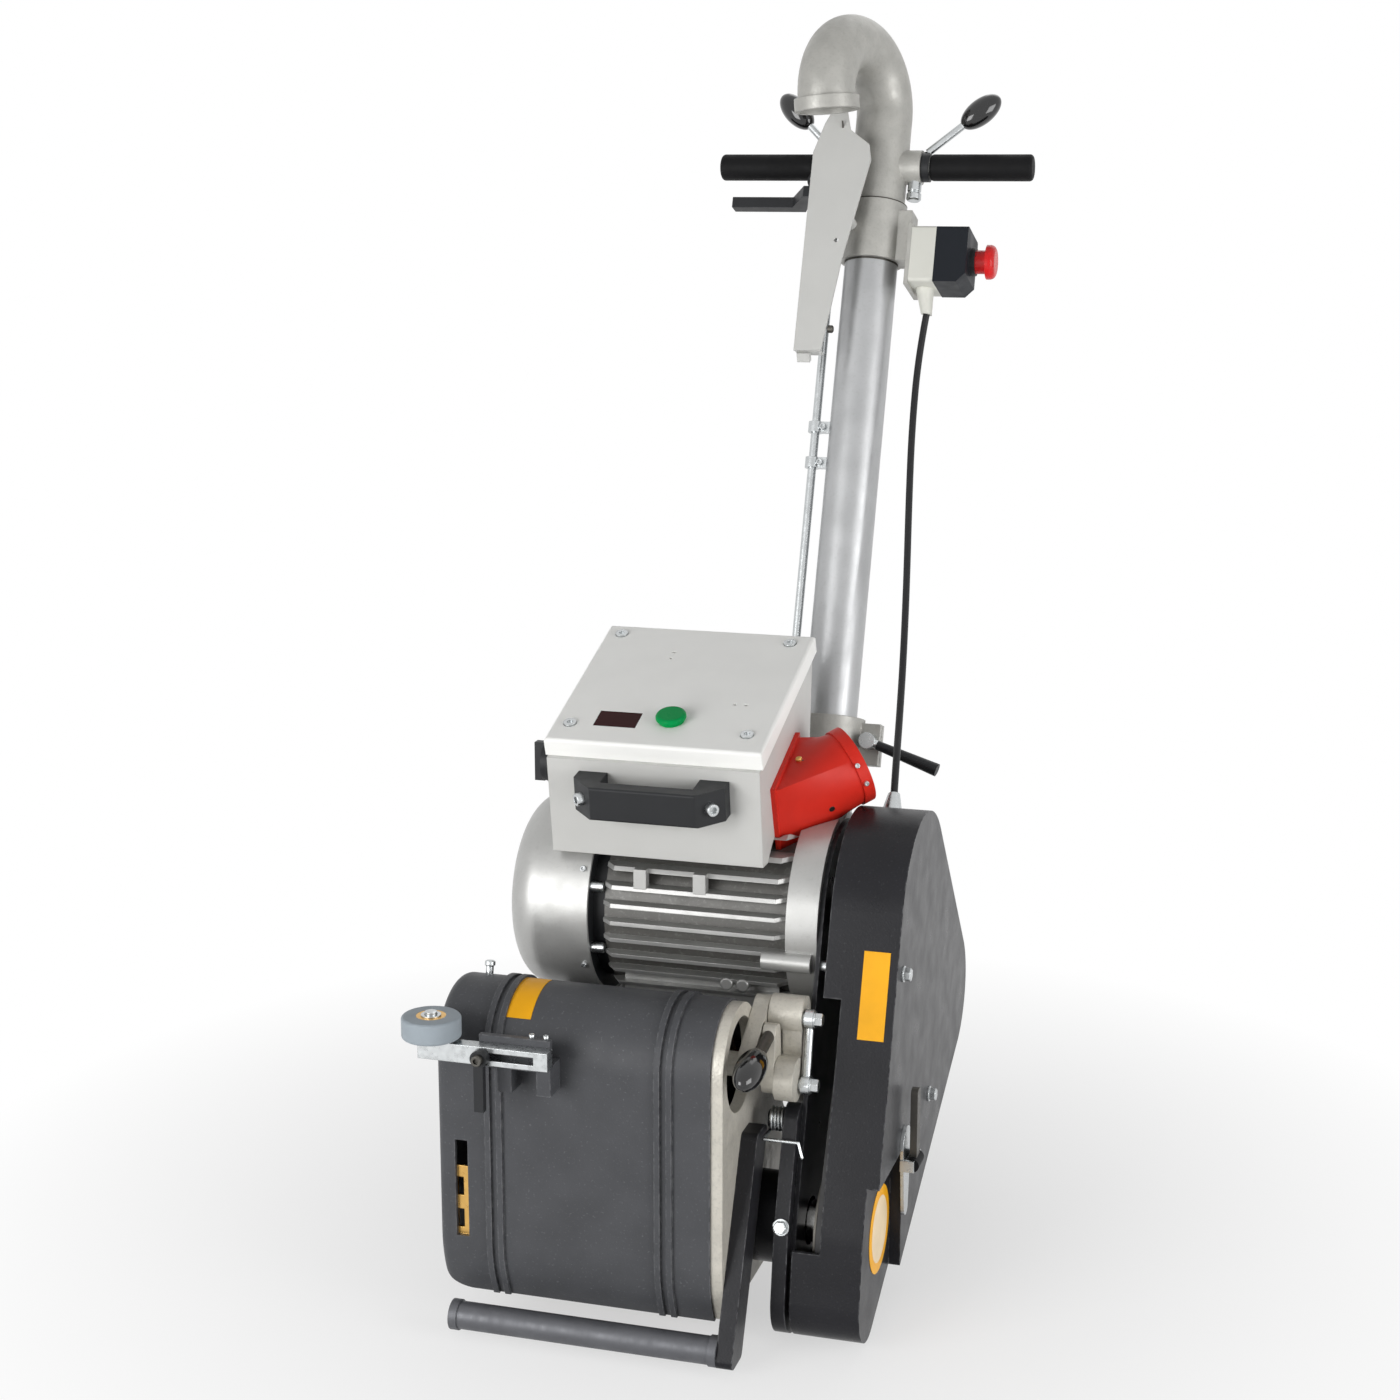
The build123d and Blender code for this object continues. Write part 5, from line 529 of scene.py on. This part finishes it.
# %% [markdown]
# The places below are read off the solids where possible. The rest are millimetres to the right
# of the drum's middle, behind its axis and above the floor, as on a workshop drawing.

# %% Drawing places
RIGHT = Vector((1, 0, 0))
BACK = Vector((0, 1, 0))
UP = Vector((0, 0, 1))
MAST_LEAN = radians(19.5)
MAST_FOOT = (103.0, 294.0, 430.0)

drum = middle("drum_rubber")


def spot(right, back, up):
    """Place in metres of a point on the workshop drawing."""
    return Vector((drum.x + right * MM, drum.y + back * MM, up * MM))


def on_mast(right, down, along):
    """Place of a point measured from the clamp of the leaning mast."""
    across = Vector((0, cos(MAST_LEAN), -sin(MAST_LEAN)))
    upward = Vector((0, sin(MAST_LEAN), cos(MAST_LEAN)))
    aside = Vector((right * MM, 0, 0))
    return spot(*MAST_FOOT) + aside + across * (down * MM) + upward * (along * MM)


print("drum at", [round(value, 3) for value in drum])

# %% [markdown]
# With these places the rest of the second finishes follow. A plane across a piece parts most of
# them: the end of a shield, the seam of the stop button's box, the neck of a knob.

# %% Parted pieces
HAIR = 0.2 * MM
SHIELD_DEPTH = 19 * MM
STOP_BASE_END = 23.2 * MM
STOP_COVER_END = 53.2 * MM
KNOB_END = 55.6 * MM
LEVER_ROD_END = 80 * MM
LEVER_ROD_FOOT = 0.25
CLAMP_BOSS = 7.2 * MM
CLAMP_TUBE_SHARE = 0.13
UPPER_GLAND = 0.6
LATCH_ROLLER = 15.5 * MM
BARREL_RADIUS = 77.5 * MM

door_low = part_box("side_door")[0]
CATCH_LOW = door_low + Vector((10, 3.9, 48)) * MM
CATCH_HIGH = door_low + Vector((33, 7.1, 114)) * MM
knob_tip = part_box("tension_lever")[0].y


def in_catch(place):
    return all(low < value < high for low, value, high in zip(CATCH_LOW, place, CATCH_HIGH))


def on_lever_rod(place):
    return KNOB_END < place.y - knob_tip < LEVER_ROD_END and place.z > LEVER_ROD_FOOT


def short_of(foot, tip):
    """Test for faces that lie before the foot, seen along the line to the tip."""
    along = (tip - foot).normalized()
    return lambda place: (place - foot).dot(along) < 0.3 * MM


repaint("side_door", brass, in_catch)
cover_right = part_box("belt_cover")[1].x
repaint("chassis", rough_cast, lambda place: place.x > cover_right - HAIR)
shield_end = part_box("motor_end_shields")[0].x + SHIELD_DEPTH
repaint("motor_end_shields", black_plastic, lambda place: place.x < shield_end)
stop_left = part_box("estop_box")[0].x
repaint("estop_box", stop_grey, lambda place: place.x < stop_left + STOP_BASE_END)
repaint("estop_box", black_plastic, lambda place: place.x > stop_left + STOP_COVER_END)
repaint("tension_lever", rough_cast, lambda place: place.y > knob_tip + KNOB_END)
repaint("tension_lever", dark_steel_and_painted_shade, on_lever_rod)
right_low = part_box("clamp_lever_right")[0].x
right_neck = short_of(on_mast(75.25, 0, 584.1), on_mast(130.25, 0, 630.6))
repaint("clamp_lever_right", zinc, right_neck)
repaint("clamp_lever_right", black_plastic, lambda place: place.x < right_low + CLAMP_BOSS)
left_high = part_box("clamp_lever_left")[1].x
left_neck = short_of(on_mast(-70.74, 0, 584.1), on_mast(-117.54, 0, 630.6))
repaint("clamp_lever_left", zinc, left_neck)
repaint("clamp_lever_left", black_plastic, lambda place: place.x > left_high - CLAMP_BOSS)
clamp_root = on_mast(41, -15.5, -3)
clamp_tip = on_mast(107, -15.5, -25)
clamp_neck = clamp_root + (clamp_tip - clamp_root) * CLAMP_TUBE_SHARE
repaint("tube_clamp_lever", zinc, short_of(clamp_neck, clamp_tip))
repaint("cable_glands", stop_grey, lambda place: place.z > UPPER_GLAND)
roller_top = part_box("guard_latch")[0].z + LATCH_ROLLER
repaint("guard_latch", grip_rubber, lambda place: place.z < roller_top)
# Painted shade: faces near the motor's axis, deep between the fins, take the dark silver.
from_motor = beside("yz", middle("fan_cowl"))
repaint("motor_housing", fin_painted_shade, lambda place: from_motor(place) < BARREL_RADIUS)
box_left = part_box("control_box")[0].x
repaint("small_fittings", black_plastic, lambda place: place.x < box_left)

# %% [markdown]
# The display window is a rectangle on the sloping lid, and the inlet's dark mouth a round hole on
# a slanting axis. Both are easiest to test in directions of their own.

# %% Window and inlet
LID_SLOPE = radians(20.0)
LID_EDGE = (21.0, 17.0, 464.0)
LID_RISE = 16 * MM
WINDOW_PLACE = Vector((-40.0, 34.5)) * MM
WINDOW_HALF = Vector((18.6, 11.6)) * MM

lid_up = Vector((0, cos(LID_SLOPE), sin(LID_SLOPE)))
lid_edge = spot(*LID_EDGE) + UP * (LID_RISE / cos(LID_SLOPE))
mouth = spot(165.0, 137.0, 447.0)
mouth_out = Vector((48.0, 33.0, 25.0)).normalized()


def in_window(place):
    offset = place - lid_edge
    across = abs(offset.x - WINDOW_PLACE.x) < WINDOW_HALF.x
    return across and abs(offset.dot(lid_up) - WINDOW_PLACE.y) < WINDOW_HALF.y


def in_mouth(reach, low, high):
    """Test for faces within that reach of the inlet's axis, between two depths."""
    def inside(place):
        depth = (place - mouth).dot(mouth_out)
        aside = (place - mouth - mouth_out * depth).length
        return aside < reach * MM and low * MM < depth < high * MM
    return inside


repaint("control_lid", window_glass, in_window)
repaint("power_inlet", black_plastic, in_mouth(28.6, -31.0, -1.0))
repaint("power_inlet", brass, in_mouth(18.6, -29.5, -5.0))

# %% [markdown]
# The stop button's lead is a real cable: it leaves the box through a gland, hangs in a long lazy
# bend behind the mast, and ends in a gland on top of the belt guard. A NURBS curve through a few
# listed points sags as a cable does; a chain of straight bits would look like bent wire.

# %% Stop cable
CABLE_THICKNESS = 6.4 * MM
CABLE_ROUTE = (
    (0.105, 0.2477, 0.8089),
    (0.1009, 0.2348, 0.7715),
    (0.1023, 0.2046, 0.7089),
    (0.1076, 0.1714, 0.6433),
    (0.1145, 0.1351, 0.5757),
    (0.1218, 0.0919, 0.5132),
    (0.1292, 0.0437, 0.4656),
    (0.1361, 0.0006, 0.4382),
    (0.139, -0.019, 0.4157),
)

route = bpy.data.curves.new("stop_cable", "CURVE")
route.dimensions = "3D"
line = route.splines.new("NURBS")
line.points.add(len(CABLE_ROUTE) - 1)
for point, place in zip(line.points, CABLE_ROUTE):
    point.co = (*place, 1.0)
line.order_u = 3
line.use_endpoint_u = True
line.resolution_u = 12
route.bevel_depth = CABLE_THICKNESS / 2
route.bevel_resolution = 5
route.materials.append(cable_jacket)
cable = bpy.data.objects.new("stop_cable", route)
scene.collection.objects.link(cable)
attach(cable, "machine")
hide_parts("estop_cable")

# %% [markdown]
# Screws and studs are turned parts: a short profile spun round an axis. One small class gathers
# many of them in a single mesh, so that all the screws of a body are one piece to carry along.
# A six-sided spin of the same profile gives a hexagon head.

# %% Turned parts
SMOOTH_ANGLE = radians(32)
BRICK_SIDES = (
    (0, 1, 3, 2),
    (4, 6, 7, 5),
    (0, 4, 5, 1),
    (2, 3, 7, 6),
    (0, 2, 6, 4),
    (1, 5, 7, 3),
)


def in_mm(*pairs):
    """Profile in metres from radius and height pairs in millimetres."""
    return [(radius * MM, height * MM) for radius, height in pairs]


class Workpiece:
    """Collects turned and folded shapes in one mesh."""

    def __init__(self):
        self.mesh = bmesh.new()

    def turned(self, profile, foot, along, sides=24):
        """Spin a profile of radius and height pairs about the line that starts at foot."""
        turn = UP.rotation_difference(Vector(along))
        rings = []
        for radius, height in profile:
            count = sides if radius > 0 else 1
            angles = [2 * pi * step / sides for step in range(count)]
            places = [Vector((radius * cos(way), radius * sin(way), height)) for way in angles]
            rings.append([self.mesh.verts.new(foot + turn @ place) for place in places])
        for low, high in zip(rings, rings[1:]):
            for step in range(sides):
                after = (step + 1) % sides
                corners = [low[step % len(low)], low[after % len(low)]]
                corners += [high[after % len(high)], high[step % len(high)]]
                self.mesh.faces.new(list(dict.fromkeys(corners)))

    def hex_bolt(self, foot, along, across):
        """Hexagon head of a width across flats, on its washer."""
        washer = 0.68 * across
        plate = 0.14 * across
        corner = across / (2 * cos(pi / 6))
        top = plate + 0.58 * across
        edge = top - 0.08 * across
        self.turned(((0, 0), (washer, 0), (washer, plate), (0, plate)), foot, along)
        head = ((0, plate), (corner, plate), (corner, edge), (0.86 * corner, top), (0, top))
        self.turned(head, foot, along, 6)

    def cap_screw(self, foot, along, radius):
        """Round head with a sunk socket."""
        height = 1.1 * radius
        socket = 0.52 * radius
        profile = (
            (0, 0),
            (radius, 0),
            (radius, 0.85 * height),
            (0.9 * radius, height),
            (socket, height),
            (socket, 0.45 * height),
            (0, 0.45 * height),
        )
        self.turned(profile, foot, along)

    def brick(self, centre, size, lean=0.0):
        """Box of a size in millimetres, leaned back about X."""
        turn = UP.rotation_difference(Vector((0, sin(lean), cos(lean))))
        half = Vector(size) * (MM / 2)
        signs = [Vector((x, y, z)) for x in (-1, 1) for y in (-1, 1) for z in (-1, 1)]
        corners = [self.mesh.verts.new(centre + turn @ (half * sign)) for sign in signs]
        for side in BRICK_SIDES:
            self.mesh.faces.new([corners[index] for index in side])

    def strip(self, line, other):
        """Row of faces between two lines of points."""
        for corners in zip(line, line[1:], other[1:], other):
            self.mesh.faces.new(corners)

    def sheet(self, rows, thickness):
        """Thin plate from rows of outer points, thickened towards the inside."""
        point = self.mesh.verts.new
        outer = [[point(place) for place, _ in row] for row in rows]
        inner = [[point(place - out * thickness) for place, out in row] for row in rows]
        for skin in (outer, inner):
            for low, high in zip(skin, skin[1:]):
                self.strip(low, high)
        for end in (0, -1):
            self.strip(outer[end], inner[end])
            self.strip([row[end] for row in outer], [row[end] for row in inner])

    def done(self, name, coat, body):
        """Make the object, give it its finish and let it ride on a body."""
        bmesh.ops.recalc_face_normals(self.mesh, faces=self.mesh.faces)
        data = bpy.data.meshes.new(name)
        self.mesh.to_mesh(data)
        self.mesh.free()
        data.materials.append(coat)
        data.shade_smooth()
        data.set_sharp_from_angle(angle=SMOOTH_ANGLE)
        piece = bpy.data.objects.new(name, data)
        scene.collection.objects.link(piece)
        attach(piece, body)
        print(name, len(data.polygons), "faces, rides on", body)


# %% [markdown]
# Three stickers brighten the dark coat: a strip on the guard's front band, a patch over the
# cover's round top and a disc on the lobe at the drum. Each is a thin plain foil that follows the
# surface under it, a little proud of it, because a coplanar sheet would flicker.

# %% Stickers
FOIL = 0.5 * MM
FOIL_BODY = 0.9 * FOIL
BAND_SIDES = (spot(203, 0, 0).x, spot(225, 0, 0).x)
BAND_HEIGHTS = (0.254, 0.322)
PATCH_SIDES = (spot(-71, 0, 0).x, spot(-46, 0, 0).x)
PATCH_ANGLES = (78, 139)
PATCH_STEPS = 14
DISC_RADIUS = 37 * MM
PALE_RADIUS = 28 * MM
DISC_SIDES = 64
LOBE_DEPTH = 10 * MM
GUARD_DRUM_RADIUS = 62 * MM
GUARD_MOTOR_RADIUS = 92 * MM
COVER_ROLLER_RADIUS = 52 * MM

motor = middle("fan_cowl")
roller = middle("tension_roller")
run = Vector((0, motor.y - drum.y, motor.z - drum.z))
along_share = (GUARD_DRUM_RADIUS - GUARD_MOTOR_RADIUS) / run.length
run.normalize()
front_side = Vector((0, -run.z, run.y))
band_out = run * along_share + front_side * sqrt(1 - along_share ** 2)
band_up = Vector((0, band_out.z, -band_out.y))
band_foot = Vector((0, drum.y, drum.z)) + band_out * GUARD_DRUM_RADIUS
lobe = Vector((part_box("belt_guard")[1].x - LOBE_DEPTH, drum.y, drum.z))


def band_strip():
    """Two rows of points on the guard's flat front band, between two heights."""
    rows = []
    for height in BAND_HEIGHTS:
        place = band_foot + band_up * ((height - band_foot.z) / band_up.z) + band_out * FOIL
        rows.append([(Vector((side, place.y, place.z)), band_out) for side in BAND_SIDES])
    return rows


def roller_patch():
    """Rows of points over the cover's round top, from one angle to another."""
    start, end = PATCH_ANGLES
    rows = []
    for step in range(PATCH_STEPS + 1):
        angle = radians(start + (end - start) * step / PATCH_STEPS)
        out = Vector((0, cos(angle), sin(angle)))
        place = Vector((0, roller.y, roller.z)) + out * (COVER_ROLLER_RADIUS + FOIL)
        rows.append([(Vector((side, place.y, place.z)), out) for side in PATCH_SIDES])
    return rows


foil = Workpiece()
foil.sheet(band_strip(), FOIL_BODY)
foil.done("band_sticker", sticker_yellow, "machine")
foil = Workpiece()
foil.sheet(roller_patch(), FOIL_BODY)
foil.done("cover_sticker", sticker_yellow, "machine")
disc = (
    (0, 0.1 * FOIL),
    (DISC_RADIUS, 0.1 * FOIL),
    (DISC_RADIUS, 0.6 * FOIL),
    (DISC_RADIUS - FOIL, FOIL),
    (0, FOIL),
)
foil = Workpiece()
foil.turned(disc, lobe, RIGHT, DISC_SIDES)
foil.done("lobe_sticker", sticker_yellow, "machine")
pale_disc = (
    (0, 0.9 * FOIL),
    (PALE_RADIUS, 0.9 * FOIL),
    (PALE_RADIUS, 1.2 * FOIL),
    (0, 1.2 * FOIL),
)
foil = Workpiece()
foil.turned(pale_disc, lobe, RIGHT, DISC_SIDES)
foil.done("lobe_sticker_centre", sticker_pale, "machine")

# %% [markdown]
# The screws that hold it all together are small, but the eye looks for them: a machine without
# fasteners looks like a toy. They sit where the real ones do, on washers, along the lines of the
# pieces they hold. Where a surface slants, a ray finds the point and the direction to screw in.

# %% Fasteners
HANDLE_FOOT = spot(0, 20.7, 440.0)
HANDLE_SCREWS = ((77.0, 1.0), (-33.0, -1.0))
HANDLE_DEPTH = 23.6 * MM
GUIDE_SCREWS = ((-22.0, -124.7, 272.0), (-34.0, -124.7, 272.0))
BRACKET_BOLTS = ((169.2, -16, 270), (169.2, -28, 218))
BEARING_BOLT = (154, -300, 106)
MOTOR_FOOT_BOLTS = ((0, 44, 230), (105, 44, 230))


def touch(name, start, toward):
    """Point and outward direction where a straight line first meets a solid."""
    mesh = nodes[name].data
    points = [corner.co for corner in mesh.vertices]
    tree = BVHTree.FromPolygons(points, [face.vertices for face in mesh.polygons])
    place, out, _, _ = tree.ray_cast(start, Vector(toward).normalized())
    return place, out


handle_out = Vector((0, -84.0, -13.0)).normalized()
screws = Workpiece()
for right, lean in HANDLE_SCREWS:
    along = (handle_out + RIGHT * lean).normalized()
    foot = HANDLE_FOOT + Vector((right * MM, 0, 0)) + handle_out * HANDLE_DEPTH
    screws.cap_screw(foot, along, 5.5 * MM)
for place in GUIDE_SCREWS:
    screws.cap_screw(spot(*place), UP, 2.4 * MM)
for place in BRACKET_BOLTS:
    screws.hex_bolt(spot(*place), RIGHT, 10 * MM)
place, out = touch("bearing_housing", spot(*BEARING_BOLT), BACK)
screws.hex_bolt(place, out, 10 * MM)
for place in MOTOR_FOOT_BOLTS:
    screws.hex_bolt(spot(*place), UP, 13 * MM)
screws.done("machine_screws", zinc, "machine")

# %% [markdown]
# The motor's tie rods end in stubs between the cowl and the fins, and the cowl has two screws of
# its own. The lugs on the barrel are cast with it, so they share its silver paint.

# %% Motor fittings
MOTOR_LINE = spot(0, 112, 322)
TIE_TURNS = (160, 200, -20, 20)
TIE_CIRCLE = 79 * MM
TIE_START = -40 * MM
TIE_STUB = in_mm((0, 0), (4.6, 0), (4.6, 10.5), (3.8, 11.5), (0, 11.5))
COWL_SCREWS = ((-46, -200, 364), (-46, -200, 280))
LUGS = ((6.0, 33.5, 361), (58.0, 33.5, 361))
LUG_SIZE = (11, 9, 17)
PLUGS = ((80.0, 45, 274), (94.0, 45, 274))
PLUG = in_mm((0, 0), (5.5, 0), (5.5, 9), (4.5, 10), (0, 10))

ties = Workpiece()
for degrees in TIE_TURNS:
    turn = radians(degrees)
    corner = MOTOR_LINE + Vector((0, cos(turn), sin(turn))) * TIE_CIRCLE
    ties.turned(TIE_STUB, corner + RIGHT * TIE_START, RIGHT)
for place in COWL_SCREWS:
    place, out = touch("fan_cowl", spot(*place), BACK)
    ties.cap_screw(place, out, 2.6 * MM)
ties.done("motor_ties", zinc, "machine")
lugs = Workpiece()
for place in LUGS:
    lugs.brick(spot(*place), LUG_SIZE)
for place in PLUGS:
    lugs.turned(PLUG, spot(*place), -BACK)
lugs.done("motor_lugs", silver, "machine")

# %% [markdown]
# On the mast the seams matter more than the screws: a dark ring where the gooseneck meets its
# collar and another below it tell the eye that these are three pieces.

# %% Mast fittings
COLLAR_SEAM = in_mm((26, 0), (29.15, 0.1), (29.15, 1.1), (26, 1.6))
TUBE_SEAM = in_mm((24.5, 0), (25.4, 0.2), (25.4, 1.8), (24.5, 2))
SEAM_SIDES = 48
COVER_SLOT = (1.6, 0.6, 13)
COVER_STUD = in_mm((0, 0), (3.6, 0), (3.6, 4), (2.6, 5), (0, 5))
CLIP_HEIGHTS = (257.0, 291.0)
STOP_POST = in_mm((0, 0), (6.5, 0), (6.5, 9), (5.5, 10), (0, 10))
STOP_NUT = in_mm((0, 0), (4.5, 0), (7, 3), (7, 8), (5.5, 9.5), (0, 9.5))
TAB_SIZE = (12, 6, 9)

mast_up = (on_mast(0, 0, 1) - on_mast(0, 0, 0)).normalized()
mast_front = (on_mast(0, -1, 0) - on_mast(0, 0, 0)).normalized()
seams = Workpiece()
seams.turned(COLLAR_SEAM, on_mast(0, 0, 505.6), mast_up, SEAM_SIDES)
seams.turned(TUBE_SEAM, on_mast(0, 0, 448.0), mast_up, SEAM_SIDES)
# Painted shade: a thin dark brick stands for the shade inside a slot in the cover on the mast.
seams.brick(on_mast(-27.5, -48.1, 566), COVER_SLOT, -MAST_LEAN)
seams.turned(COVER_STUD, on_mast(-25, -44, 374), RIGHT)
seams.done("mast_seams_and_slot_shade", dark_steel_and_painted_shade, "machine")
clips = Workpiece()
for along in CLIP_HEIGHTS:
    clips.cap_screw(on_mast(-31, -3.9, along), mast_front, 3.2 * MM)
clips.turned(STOP_POST, on_mast(35, 0, 530), -mast_up)
clips.turned(STOP_NUT, on_mast(35, 0, 521), -mast_up)
clips.done("mast_screws", zinc, "machine")
tab = Workpiece()
tab.brick(on_mast(-46, -42, 348), TAB_SIZE, -MAST_LEAN)
tab.done("linkage_tab", box_coat, "machine")

# %% [markdown]
# The inlet is round and slanting, so its marks are placed one by one: a line from the camera to a
# point of the drawing meets its skin where the mark is seen.

# %% Inlet fittings
INLET_PIN = in_mm((0, -1), (3, -1), (3, 1.6), (2.2, 2.4), (0, 2.4))
INLET_SLOT = in_mm((0, 3), (1.3, 3), (1.3, 12), (0, 12))
INLET_HOLE = in_mm((0, -1), (2.6, -1), (2.6, 0.3), (0, 0.3))
SLOT_SINK = 0.4 * MM
RIM_SCREWS = ((160, 165.4, 437.5), (160, 202.0, 413.2))


def on_inlet(right, back, up):
    """Point and outward direction on the inlet, seen from the camera at a drawing point."""
    return touch("power_inlet", camera.location, spot(right, back, up) - camera.location)


pin_place, pin_out = on_inlet(140, 40.3, 471.3)
slot_place, _ = on_inlet(140, 123.2, 446.2)
hole_place, hole_out = on_inlet(140, 158, 399.3)
pin = Workpiece()
pin.turned(INLET_PIN, pin_place, pin_out)
pin.done("inlet_pin", brass, "machine")
# Painted shade: the slot and the screw hole are thin dark pieces that stand for the shade inside a
# groove and a recess.
marks = Workpiece()
marks.turned(INLET_SLOT, pin_place - pin_out * SLOT_SINK, slot_place - pin_place, 12)
marks.turned(INLET_HOLE, hole_place, hole_out)
marks.done("inlet_slot_and_hole_shade", dark_steel_and_painted_shade, "machine")
rim = Workpiece()
for place in RIM_SCREWS:
    place, out = on_inlet(*place)
    rim.cap_screw(place, out, 2.2 * MM)
rim.done("inlet_screws", zinc, "machine")

# %% [markdown]
# The wall guide's wheel turns on a post with a nut, its clamp lever has a screw in its hub, and
# the door carries a hook to lift it by. Each rides on the body that it belongs to.

# %% Guide and door fittings
POST_END = in_mm((0, 2), (5, 2), (5, 3.2), (3.2, 4), (0, 4.2))
POST_WASHER = in_mm((5.3, 0.05), (8.2, 0.05), (8.2, 1), (5.3, 1))
DOOR_PEG = in_mm((0, 0), (3.2, 0), (3.2, 8), (4.4, 9), (4.4, 12), (3, 13), (0, 13))
DOOR_PEG_LEAN = (0, 0.2, 1)

wheel_post = middle("guide_wheel")
wheel_post.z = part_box("guide_wheel")[1].z
nut = Workpiece()
nut.turned(POST_END, wheel_post, UP)
nut.turned(POST_WASHER, wheel_post, UP)
nut.done("guide_nut", zinc, "guide")
screw = Workpiece()
screw.cap_screw(spot(-70, -150.3, 258.5), -BACK, 4.5 * MM)
screw.done("guide_screw_head", dark_steel_and_painted_shade, "guide_clamp")
hook = Workpiece()
hook.turned(DOOR_PEG, spot(-103, -40, 288.5), DOOR_PEG_LEAN)
hook.done("door_hook", zinc, "door")

# %% [markdown]
# Behind, where the picture doesn't show it, the axle has nuts, the fan housing a circle of screws
# and the belt guard two bolts, so that the machine is finished from every side.

# %% Carriage and fan fittings
AXLE_LEFT = (-101, 340, 60)
AXLE_RIGHT = (155, 340, 60)
PIVOT_END = (-75.5, 149.75, 166.5)
FAN_FACE = spot(78, 262, 203)
FAN_CIRCLE = 74 * MM
FAN_SCREWS = 6
GUARD_BOLTS = ((232, 150.0, 150.0), (232, 30.0, 300.0))

axle_ends = Workpiece()
axle_ends.hex_bolt(spot(*AXLE_LEFT), -RIGHT, 15 * MM)
axle_ends.hex_bolt(spot(*AXLE_RIGHT), RIGHT, 15 * MM)
axle_ends.done("axle_nuts", zinc, "carriage")
rear = Workpiece()
rear.hex_bolt(spot(*PIVOT_END), -RIGHT, 12 * MM)
for step in range(FAN_SCREWS):
    turn = 2 * pi * (step + 0.5) / FAN_SCREWS
    place = FAN_FACE + Vector((0, cos(turn), sin(turn))) * FAN_CIRCLE
    rear.cap_screw(place, -RIGHT, 3.2 * MM)
for place in GUARD_BOLTS:
    rear.hex_bolt(spot(*place), RIGHT, 10 * MM)
rear.done("frame_screws", zinc, "machine")

# %% [markdown]
# Last comes the floor. It is a wide pale sheet that takes the machine's shadow. Half of it glows
# white for the camera, which keeps the shadow soft, and away from the machine it fades to plain
# white, so that it has no visible end.

# %% Floor
FLOOR_SIZE = 14.0
FLOOR_FADE = (0.2, 0.8)
FLOOR_WHITE = 0.55
FLOOR_PALE = (0.86, 0.86, 0.86)

sheet_mesh = bpy.data.meshes.new("studio_floor")
half = FLOOR_SIZE / 2
corners = [(-half, -half, 0), (half, -half, 0), (half, half, 0), (-half, half, 0)]
sheet_mesh.from_pydata(corners, [], [(0, 1, 2, 3)])
floor = bpy.data.objects.new("studio_floor", sheet_mesh)
scene.collection.objects.link(floor)
pale = Finish("pale_floor", FLOOR_PALE, 0.7)
pale.mottle(200 * MM, 0.02)
away = pale.node("ShaderNodeVectorMath", operation="LENGTH")
pale.link(pale.place, away.inputs[0])
fade = pale.spread(away.outputs["Value"], FLOOR_WHITE, 1.0, *FLOOR_FADE)
glow = pale.node("ShaderNodeMath", operation="MULTIPLY")
pale.link(fade, glow.inputs[0])
pale.link(looking(pale.tree), glow.inputs[1])
white = pale.node("ShaderNodeEmission")
blend = pale.node("ShaderNodeMixShader")
output = pale.tree.nodes["Material Output"]
pale.link(glow.outputs[0], blend.inputs["Fac"])
pale.link(pale.shader.outputs["BSDF"], blend.inputs[1])
pale.link(white.outputs["Emission"], blend.inputs[2])
pale.link(blend.outputs["Shader"], output.inputs["Surface"])
sheet_mesh.materials.append(pale.material)
print("floor", FLOOR_SIZE, "m wide")
